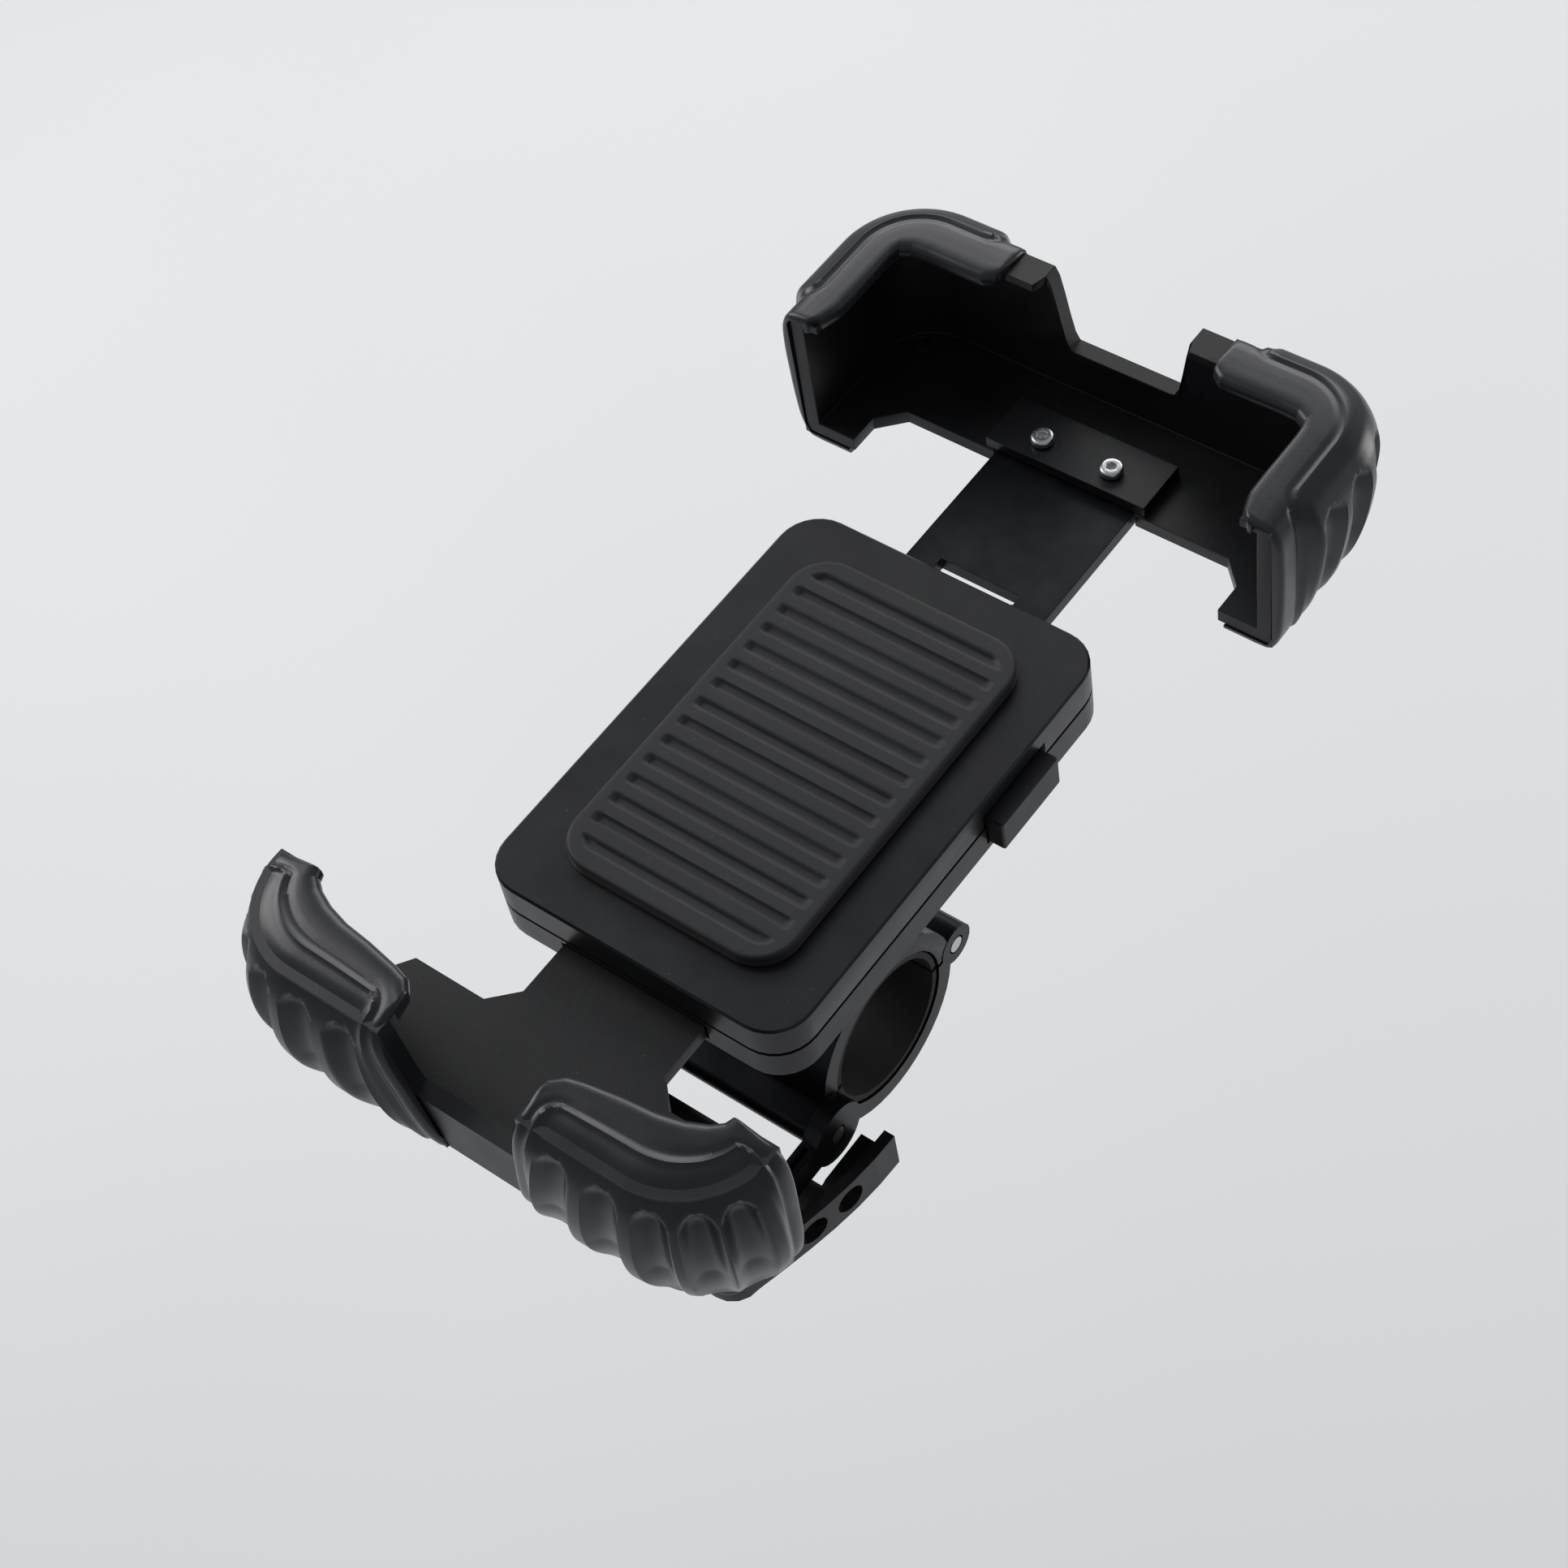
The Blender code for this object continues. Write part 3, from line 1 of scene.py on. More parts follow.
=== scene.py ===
import json
import bmesh
import bpy
import numpy as np
from mathutils import Matrix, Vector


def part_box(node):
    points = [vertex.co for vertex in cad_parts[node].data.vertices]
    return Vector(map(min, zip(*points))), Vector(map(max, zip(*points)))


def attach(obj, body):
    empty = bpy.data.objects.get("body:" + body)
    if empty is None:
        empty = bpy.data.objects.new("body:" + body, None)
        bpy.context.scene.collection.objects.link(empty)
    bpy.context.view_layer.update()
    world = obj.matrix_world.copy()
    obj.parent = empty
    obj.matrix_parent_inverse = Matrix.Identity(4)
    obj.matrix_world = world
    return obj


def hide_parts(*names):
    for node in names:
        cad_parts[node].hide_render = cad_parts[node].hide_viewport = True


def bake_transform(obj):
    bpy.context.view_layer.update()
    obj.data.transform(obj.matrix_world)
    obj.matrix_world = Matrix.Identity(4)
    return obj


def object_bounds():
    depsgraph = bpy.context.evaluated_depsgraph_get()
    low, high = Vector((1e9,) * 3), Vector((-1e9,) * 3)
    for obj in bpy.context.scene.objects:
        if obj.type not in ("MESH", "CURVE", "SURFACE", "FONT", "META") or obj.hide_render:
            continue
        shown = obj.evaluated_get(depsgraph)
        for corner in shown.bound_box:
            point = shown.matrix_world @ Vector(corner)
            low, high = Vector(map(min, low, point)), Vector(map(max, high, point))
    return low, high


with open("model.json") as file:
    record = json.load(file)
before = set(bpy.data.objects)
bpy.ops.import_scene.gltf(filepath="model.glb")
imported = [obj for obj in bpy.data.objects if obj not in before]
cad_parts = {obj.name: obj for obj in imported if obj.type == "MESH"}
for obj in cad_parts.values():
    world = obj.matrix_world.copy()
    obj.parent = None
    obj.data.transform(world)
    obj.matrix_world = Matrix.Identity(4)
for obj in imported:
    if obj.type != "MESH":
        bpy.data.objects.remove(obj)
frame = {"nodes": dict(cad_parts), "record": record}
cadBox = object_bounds()
record = frame["record"]
nodeBody = {node: body for body, nodes in record["behaviour"]["bodies"].items() for node in nodes}
nodeSlot = {part["node"]: part["material_slot"] for part in record["subparts"]}
print("frame loaded:", len(nodeBody), "nodes")


# camera, floor and light: lengths in metres, power in watts. A softbox's offset from the aim
# is along the camera's own right, up and towards it.

studio = {
    "eye": (0.20030578, -0.18664102, 0.42351566),
    "right": (0.7942712, 0.594279, -0.12623388),
    "up": (-0.42430811, 0.69131721, 0.58486088),
    "lens": 69.63,
    "sensor": 36,
    "clipStart": 0.01,
    "aim": (0.0, 0.012, 0.045),
    "softboxes": {
        "keySoftbox": {"offset": (-0.85, 0.75, 0.10), "size": (0.55, 0.9), "power": 6.5},
        "topSoftbox": {"offset": (0.15, 1.25, -0.15), "size": (1.2, 0.6), "power": 7.0},
        "rimSoftbox": {"offset": (1.10, 0.35, -0.25), "size": (0.3, 0.9), "power": 4.5},
    },
    "worldColour": "#dfe3ea",
    "worldStrength": 0.40,
    "floorDrop": 0.34,
    "floorHalf": 6.0,
    "floorColours": ("#ebebeb", "#efefef"),
    "floorMottle": 400,        # millimetres
    "mottleRange": (0.3, 0.7),
    "floorRoughness": 0.9,
}


def linear(code):
    # an sRGB hex value as linear red, green, blue and alpha, by the standard's own curve
    parts = np.array([int(code[i:i + 2], 16) for i in (1, 3, 5)]) / 255
    return (*np.where(parts <= 0.04045, parts / 12.92, ((parts + 0.055) / 1.055) ** 2.4), 1.0)


def turnedTo(across, upward, place):
    # a camera or a lamp at a place, with its own right and up directions
    across, upward = np.array(across), np.array(upward)
    across = across / np.linalg.norm(across)
    back = np.cross(across, upward)
    back /= np.linalg.norm(back)
    upward = np.cross(back, across)
    matrix = np.eye(4)
    matrix[:3, 0], matrix[:3, 1], matrix[:3, 2], matrix[:3, 3] = across, upward, back, place
    return Matrix(matrix.tolist())


def makeCamera():
    data = bpy.data.cameras.new("studioCamera")
    data.lens = studio["lens"]
    data.sensor_width = studio["sensor"]
    data.clip_start = studio["clipStart"]
    camera = bpy.data.objects.new("studioCamera", data)
    bpy.context.scene.collection.objects.link(camera)
    camera.matrix_world = turnedTo(studio["right"], studio["up"], studio["eye"])
    bpy.context.scene.camera = camera


def makeLight(name, offset, size, power):
    sideways, upwards, towards = offset
    right, up = np.array(studio["right"]), np.array(studio["up"])
    back = np.cross(right, up)
    away = sideways * right + upwards * up + towards * back
    place = np.array(studio["aim"]) + away
    facing = away / np.linalg.norm(away)
    across = np.cross((0.0, 0.0, 1.0), facing)
    data = bpy.data.lights.new(name, "AREA")
    data.shape = "RECTANGLE"
    data.size, data.size_y = size
    data.energy = power
    lamp = bpy.data.objects.new(name, data)
    bpy.context.scene.collection.objects.link(lamp)
    lamp.matrix_world = turnedTo(across, np.cross(facing, across), place)


def makeStudio():
    makeCamera()
    for name, softbox in studio["softboxes"].items():
        makeLight(name, **softbox)
    world = bpy.data.worlds.new("softRoom")
    world.use_nodes = True
    sky = world.node_tree.nodes["Background"]
    sky.inputs["Color"].default_value = linear(studio["worldColour"])
    sky.inputs["Strength"].default_value = studio["worldStrength"]
    bpy.context.scene.world = world
    bpy.context.scene.view_settings.view_transform = "Standard"
    low = cadBox[0][2] - studio["floorDrop"]
    half = studio["floorHalf"]
    corners = [(x * half, y * half, low) for x, y in ((-1, -1), (1, -1), (1, 1), (-1, 1))]
    mesh = bpy.data.meshes.new("floor")
    mesh.from_pydata(corners, [], [(0, 1, 2, 3)])
    mesh.materials.append(paintedFloor())
    floor = bpy.data.objects.new("floor", mesh)
    bpy.context.scene.collection.objects.link(floor)


# materials

def addNode(tree, kind, settings=None, **links):
    # A node with its settings. A link is given as socket=(other node, its output), and a
    # plain value goes straight on the socket; n and a number stand for a numbered socket.
    node = tree.nodes.new(kind)
    for key, value in (settings or {}).items():
        setattr(node, key, value)
    for key, value in links.items():
        numbered = key[0] == "n" and key[1:].isdigit()
        socket = node.inputs[int(key[1:]) if numbered else key]
        if isinstance(value, tuple) and hasattr(value[0], "outputs"):
            tree.links.new(value[0].outputs[value[1]], socket)
        else:
            socket.default_value = value
    return node


def startMaterial(name):
    made = bpy.data.materials.new(name)
    made.use_nodes = True
    tree = made.node_tree
    return made, tree, tree.nodes["Principled BSDF"]


def noiseAt(tree, size, detail=3.0, roughness=0.55, stretch=(1, 1, 1)):
    # noise whose blobs are about size millimetres across, in object space
    place = addNode(tree, "ShaderNodeTexCoord")
    spread = addNode(tree, "ShaderNodeMapping", n0=(place, "Object"))
    spread.inputs["Scale"].default_value = stretch
    return addNode(tree, "ShaderNodeTexNoise", Vector=(spread, 0), Scale=1000.0 / size,
                   Detail=detail, Roughness=roughness)


def rampOf(tree, source, span, colours):
    # from the first colour to the second while the source goes over the span
    ramp = addNode(tree, "ShaderNodeValToRGB", n0=(source, 0))
    for edge, place, colour in zip(ramp.color_ramp.elements, span, colours):
        edge.position, edge.color = place, colour
    return ramp


def glossFrom(tree, shader, source, roughness, spread):
    # the roughness goes from the spread's low end to its high end with the source
    gloss = addNode(tree, "ShaderNodeMapRange", n0=(source, 0),
                    n3=roughness + spread[0], n4=roughness + spread[1])
    tree.links.new(gloss.outputs[0], shader.inputs["Roughness"])


def bumpOn(tree, shader, source, strength, depth):
    # depth in millimetres
    bump = addNode(tree, "ShaderNodeBump", Strength=strength, Distance=depth * 0.001,
                   Height=(source, 0))
    tree.links.new(bump.outputs[0], shader.inputs["Normal"])


def paintedFloor():
    # Matt emulsion on board: pale grey, no gloss, faint roller mottle.
    made, tree, shader = startMaterial("mattEmulsion")
    mottle = noiseAt(tree, studio["floorMottle"], detail=2.0)
    tones = [linear(tone) for tone in studio["floorColours"]]
    colour = rampOf(tree, mottle, studio["mottleRange"], tones)
    tree.links.new(colour.outputs[0], shader.inputs["Base Color"])
    shader.inputs["Roughness"].default_value = studio["floorRoughness"]
    return made


# Sizes and depths in millimetres; the ranges are of the noise, from 0 to 1. A real grain is
# near 0.1 mm, and scratches are finer still: both are drawn coarser so that they show.
mouldedLook = {
    "flow": 18, "flowRange": (0.35, 0.68),
    "dust": 0.7, "dustRange": (0.76, 0.80), "dustColour": "#8d8f94",   # specks of about 0.2 mm
    "patch": 6, "patchSpread": (-0.07, 0.09),
    "grainRough": 0.6, "grainStrength": 0.5,
    "ior": 1.5,
}

# The specular level is low where the grain traps part of the gloss.
plastics = {
    # thermoplastic elastomer, moulded: soft satin charcoal, faintly blue, bright on its ridges
    "claw": {"name": "mouldedElastomer", "tones": ("#131418", "#1a1b20"), "roughness": 0.31,
             "grain": 0.35, "depth": 0.025, "dust": 0.15, "specular": 0.5, "sheen": 0.04},
    # glass-filled nylon, moulded: near black and even, duller than the shells
    "moulded": {"name": "glassFilledNylon", "tones": ("#0c0d0f", "#121315"), "roughness": 0.40,
                "grain": 0.30, "depth": 0.035, "dust": 0.12},
    # ABS, moulded: satin black with a fine grain
    "shell": {"name": "satinAbs", "tones": ("#0e0f11", "#141518"), "roughness": 0.34,
              "grain": 0.25, "depth": 0.02, "dust": 0.12},
    # nitrile rubber sheet: flat matt black, no sparkle
    "lining": {"name": "nitrileRubber", "tones": ("#121213", "#1a1a1b"), "roughness": 0.72,
               "grain": 0.5, "depth": 0.05},
    # silicone rubber, moulded: matt black, a pale bloom where it turns away, holds dust
    "pad": {"name": "siliconeRubber", "tones": ("#101113", "#17181a"), "roughness": 0.56,
            "grain": 0.4, "depth": 0.03, "dust": 0.15, "sheen": 0.12},
    # acetal in its own colour, moulded: milky white, smooth
    "acetal": {"name": "naturalAcetal", "tones": ("#cfcdc3", "#dedcd3"), "roughness": 0.34,
               "grain": 0.3, "depth": 0.01},
}

metalLook = {
    "cloud": 9, "cloudRange": (0.3, 0.7),
    "lineRough": 0.6, "lineSpread": (-0.08, 0.12), "lineStrength": 0.35, "lineDepth": 0.02,
}

# The lines are that far apart, and stretched by the direction's three shares.
metals = {
    # stainless steel, turned: bright grey with fine lines round it
    "steel": {"name": "stainlessSteel", "tones": ("#b9b9bb", "#cfd0d2"), "roughness": 0.26,
              "lines": 0.6, "direction": (1, 1, 6)},
    # spring steel, drawn: a little darker, smooth
    "spring": {"name": "drawnSpringWire", "tones": ("#9b9ca0", "#b3b4b8"), "roughness": 0.28,
               "lines": 0.4, "direction": (6, 1, 6)},
    # aluminium, blasted and anodised black: dark grey and silky, no direction
    "alloy": {"name": "blackAnodisedAluminium", "tones": ("#232427", "#303135"),
              "roughness": 0.36, "lines": 0.35, "direction": (1, 1, 1)},
}


def mouldedPlastic(name, tones, roughness, grain, depth, dust=0.0, specular=0.36, sheen=0.0):
    # Injection-moulded plastic or rubber: one through colour with slow flow shading, a fine
    # spark-eroded grain, glossier and duller patches, and a few dust specks.
    look = mouldedLook
    made, tree, shader = startMaterial(name)
    flow = noiseAt(tree, look["flow"], detail=3.0)
    colour = rampOf(tree, flow, look["flowRange"], [linear(tone) for tone in tones])
    finished = colour.outputs[0]
    if dust:
        specks = noiseAt(tree, look["dust"], detail=1.0)
        show = rampOf(tree, specks, look["dustRange"], [(0, 0, 0, 1), (dust, dust, dust, 1)])
        dusted = addNode(tree, "ShaderNodeMix", {"data_type": "RGBA"}, n0=(show, 0),
                         n6=(colour, 0), n7=linear(look["dustColour"]))
        finished = dusted.outputs[2]
    tree.links.new(finished, shader.inputs["Base Color"])
    patches = noiseAt(tree, look["patch"], detail=4.0)
    glossFrom(tree, shader, patches, roughness, look["patchSpread"])
    fine = noiseAt(tree, grain, detail=2.0, roughness=look["grainRough"])
    bumpOn(tree, shader, fine, look["grainStrength"], depth)
    shader.inputs["IOR"].default_value = look["ior"]
    shader.inputs["Specular IOR Level"].default_value = specular
    shader.inputs["Sheen Weight"].default_value = sheen
    return made


def workedMetal(name, tones, roughness, lines, direction):
    # Worked metal: fine scratches in the gloss and the relief, and slow clouds in the colour.
    look = metalLook
    made, tree, shader = startMaterial(name)
    drawn = noiseAt(tree, lines, 3.0, look["lineRough"], stretch=direction)
    cloudy = noiseAt(tree, look["cloud"], detail=3.0)
    colour = rampOf(tree, cloudy, look["cloudRange"], [linear(tone) for tone in tones])
    tree.links.new(colour.outputs[0], shader.inputs["Base Color"])
    glossFrom(tree, shader, drawn, roughness, look["lineSpread"])
    bumpOn(tree, shader, drawn, look["lineStrength"], look["lineDepth"])
    shader.inputs["Metallic"].default_value = 1.0
    return made


def makeFinishes():
    made = {slot: mouldedPlastic(**finish) for slot, finish in plastics.items()}
    made.update({slot: workedMetal(**finish) for slot, finish in metals.items()})
    return made


makeStudio()
finishes = makeFinishes()
print("studio and finishes made")


# surfaces: everything below is worked out in millimetres

meshing = {
    "weld": 1e-7,              # metres
    "cornerShare": 0.45,       # a corner's curve takes at most this share of an edge
    "perKey": 40,              # curve points for each key point
}


def quadGrid(rows, columns, wrapRows, wrapColumns):
    # corner numbers of the quads between the points of a grid
    i = np.arange(rows if wrapRows else rows - 1)[:, None]
    j = np.arange(columns if wrapColumns else columns - 1)[None, :]
    down, along = (i + 1) % rows, (j + 1) % columns
    corners = (i * columns + j, i * columns + along, down * columns + along, down * columns + j)
    return np.stack(corners, axis=-1).reshape(-1, 4)


smoothUnder = {               # degrees between faces that still shade as one surface
    "claw": 40.0, "pad": 50.0, "screw": 35.0, "stud": 45.0, "housing": 45.0,
    "ring": 50.0, "rivet": 50.0, "spring": 60.0,
}


def makePiece(name, grids, node, kind, rides=True):
    # grids is a list of (points, wrap rows, wrap columns); a grid open along its rows gets a
    # flat cap at each end.
    verts, faces, start = [], [], 0
    for points, wrapRows, wrapColumns in grids:
        rows, columns = points.shape[:2]
        verts.append(points.reshape(-1, 3))
        faces += (quadGrid(rows, columns, wrapRows, wrapColumns) + start).tolist()
        if wrapColumns and not wrapRows:
            faces.append((np.arange(columns)[::-1] + start).tolist())
            faces.append((np.arange(columns) + start + (rows - 1) * columns).tolist())
        start += rows * columns
    mesh = bpy.data.meshes.new(name)
    mesh.from_pydata((np.concatenate(verts) * 0.001).tolist(), [], faces)
    shell = bmesh.new()
    shell.from_mesh(mesh)
    bmesh.ops.remove_doubles(shell, verts=shell.verts, dist=meshing["weld"])
    bmesh.ops.recalc_face_normals(shell, faces=shell.faces)
    shell.to_mesh(mesh)
    shell.free()
    mesh.shade_smooth()
    mesh.set_sharp_from_angle(angle=np.radians(smoothUnder[kind]))
    piece = bpy.data.objects.new(name, mesh)
    bpy.context.scene.collection.objects.link(piece)
    mesh.materials.append(finishes[nodeSlot[node]])
    if rides:
        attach(piece, nodeBody[node])
    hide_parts(node)
    return piece


def softCorners(corners, reach, steps=5):
    # each corner becomes a short curve: it leaves the edge before at the distance reach,
    # heads for the corner, and joins the edge after at the same distance
    points = np.array(corners, float)
    before, after = np.roll(points, 1, 0) - points, np.roll(points, -1, 0) - points
    longBefore = np.linalg.norm(before, axis=1, keepdims=True)
    longAfter = np.linalg.norm(after, axis=1, keepdims=True)
    reach = np.broadcast_to(np.asarray(reach, float), len(points))[:, None]
    reach = np.minimum(reach, meshing["cornerShare"] * np.minimum(longBefore, longAfter))
    start = (points + before / longBefore * reach)[:, None]
    end = (points + after / longAfter * reach)[:, None]
    t = np.linspace(0, 1, steps + 1)[None, :, None]
    curve = (1 - t) ** 2 * start + 2 * t * (1 - t) * points[:, None] + t ** 2 * end
    return curve.reshape(-1, 2)


def spin(profile, steps=144, centre=(0.0, 0.0)):
    # radius and height carried once round a vertical axis
    angle = np.linspace(0, 2 * np.pi, steps, endpoint=False)[:, None]
    x = centre[0] + profile[None, :, 0] * np.cos(angle)
    y = centre[1] + profile[None, :, 0] * np.sin(angle)
    return np.stack([x, y, np.broadcast_to(profile[None, :, 1], x.shape)], axis=-1)


def smoothStep(value):
    # an S curve from 0 to 1: three squares less two cubes
    value = np.clip(value, 0, 1)
    return value * value * (3 - 2 * value)


def through(keys):
    # a smooth curve through the key points: each span bends to its neighbours' slopes
    keys = np.asarray(keys, float)
    ends = np.concatenate([2 * keys[:1] - keys[1:2], keys, 2 * keys[-1:] - keys[-2:-1]])
    t = np.linspace(0, len(keys) - 1, meshing["perKey"] * len(keys))
    i = np.minimum(t.astype(int), len(keys) - 2)
    f = (t - i)[:, None]
    a, b, c, d = ends[i], ends[i + 1], ends[i + 2], ends[i + 3]
    return 0.5 * (2 * b + (c - a) * f + (2 * a - 5 * b + 4 * c - d) * f ** 2
                  + (3 * b - a - 3 * c + d) * f ** 3)


# claws

clawShape = {
    "lineX": 42.75,            # the bracket's inner face beside the phone
    "lip": 7.5,                # from that line to the lip's inner edge
    "lipOver": 60,             # above this height the inside belongs to the lip
    "wall": 7.0,               # how far the bulge stands outside that face
    "around": 100,             # points across the outside
    "lipPoints": 12,           # how many of them lie on the lip's edge
    "rings": 0.42,             # from one ring to the next along the outside
    "endRings": (0, 0.06, 0.2, 0.45, 0.8),
    "endRun": (1.2, 1.0),      # where the even rings start and stop
    "endRound": 1.0,
    "foot": 45, "footRise": 28.0,           # the slanted ends start here and reach this far up
    "borderRadius": 3.4,
    "liftFrom": 0.2, "liftWide": 2.6,       # the panel's rise inside its border
    "beadHigh": 0.38, "beadIn": 0.5, "beadWide": 0.42,
    "grooveDeep": 0.24, "grooveOut": 0.55, "grooveWide": 0.48,
    "borderEnd": 7.0, "borderFade": 3.0,    # bead and groove stop above the bottom edge
    "fluteDeep": 2.3, "fluteHalf": 3.0, "fluteSharp": 2.6, "fluteIn": 1.2,
    "fluteEnd": 4.5, "fluteFade": 2.5,
    "fluteHeights": (45.2, 47.5, 56.0), "fluteShares": (0.0, 0.35, 1.0),
}

# Distance outwards from the phone's edge line, and height, from the lip's inner edge over
# the top and down the wall. The frame is the low border, the panel the bulge inside it.
clawLip = [(-6.9, 71.95), (-7.45, 72.7), (-7.35, 73.8), (-6.6, 74.55), (-5.2, 74.75)]
clawFoot = [(2.6, 45.5), (0.4, 44.9), (-3.0, 44.9), (-6.0, 44.9)]
clawInside = [(-6.0, 46.2), (2.9, 46.2), (2.9, 73.7), (-3.3, 73.7), (-3.3, 71.8), (-6.6, 71.8)]

# For each pair: the edge line in Y, which way the phone is, the corner, where the arms end
# (lip, foot), the bead's place, the flutes' places along the outside and how far below the
# bead they start, and the lip's inner edge as (distance, x, y).
clawPlaces = {
    "lower": {
        "line": -68.4, "inward": 1.0, "turn": 12.0,
        "armX": (12.6, 7.2), "sideY": (-55.2, -55.8), "bead": -2.3, "margins": (2.5, 3.6),
        "flutes": (7.2, 15.6, 24.0, 31.6, 38.2), "fluteStart": 6.8,
        "frame": [(-3.6, 74.7), (-1.8, 74.6), (0.6, 74.3), (2.9, 73.3), (4.3, 70.6), (4.8, 66.0),
                  (4.7, 60.0), (4.5, 54.0), (3.9, 49.0)],
        "panel": [(-3.6, 74.7), (-1.8, 74.65), (0.4, 74.2), (2.9, 72.6), (5.0, 69.6), (6.4, 65.0),
                  (7.0, 59.5), (6.4, 54.0), (4.7, 49.2)],
        "inner": [(0, 12.7, -66.4), (1.2, 13.0, -64.0), (3.2, 14.8, -62.1), (6, 17.6, -61.3),
                  (12, 23.4, -60.3), (18, 28.6, -59.7), (26, 32.6, -58.7), (34, 35.6, -57.4),
                  (42, 37.2, -56.2), (49.2, 37.7, -54.9)],
    },
    "upper": {
        "line": 96.9, "inward": -1.0, "turn": 9.0,
        "armX": (20.0, 20.0), "sideY": (68.0, 68.4), "bead": 1.7, "margins": (4.2, 5.6),
        "flutes": (15.5, 23.5, 31.5, 39.5, 47.2), "fluteStart": 4.6,
        "frame": [(-3.2, 74.75), (-0.8, 74.7), (1.2, 74.55), (2.9, 73.8), (4.3, 71.0),
                  (4.75, 66.0), (4.7, 60.0), (4.5, 54.0), (4.0, 49.0)],
        "panel": [(-3.2, 74.75), (-0.8, 74.7), (1.4, 74.7), (4.2, 73.8), (6.6, 70.8),
                  (7.55, 66.0), (7.1, 60.0), (6.0, 54.0), (4.5, 49.0)],
        "inner": [(0, 20.2, 94.0), (1, 20.5, 91.8), (2.8, 22.4, 90.4), (6, 25.6, 90.3),
                  (14, 33.2, 90.4), (20, 36.4, 90.2), (26, 38.1, 89.3), (32, 38.35, 87.6),
                  (39, 38.35, 84.8), (49, 38.3, 77.6), (54, 38.4, 73.2), (56.6, 39.4, 70.2),
                  (58.8, 41.2, 68.2)],
    },
}


def evenly(curve, count):
    # the curve with its points at equal distances, those distances, and the first curve's own
    steps = np.linalg.norm(np.diff(curve, axis=0), axis=1)
    length = np.concatenate([[0], np.cumsum(steps)])
    even = np.linspace(0, length[-1], count)
    points = np.stack([np.interp(even, length, curve[:, k]) for k in (0, 1)], axis=1)
    return points, even, length


def withCorners(corners, count):
    # points evenly along straight runs, with every corner kept
    corners = np.array(corners, float)
    length = np.concatenate([[0], np.cumsum(np.linalg.norm(np.diff(corners, axis=0), axis=1))])
    even = np.linspace(0, length[-1], count - len(corners) + 2)[1:-1]
    along = np.sort(np.concatenate([even, length]))
    return np.stack([np.interp(along, length, corners[:, k]) for k in (0, 1)], axis=1)


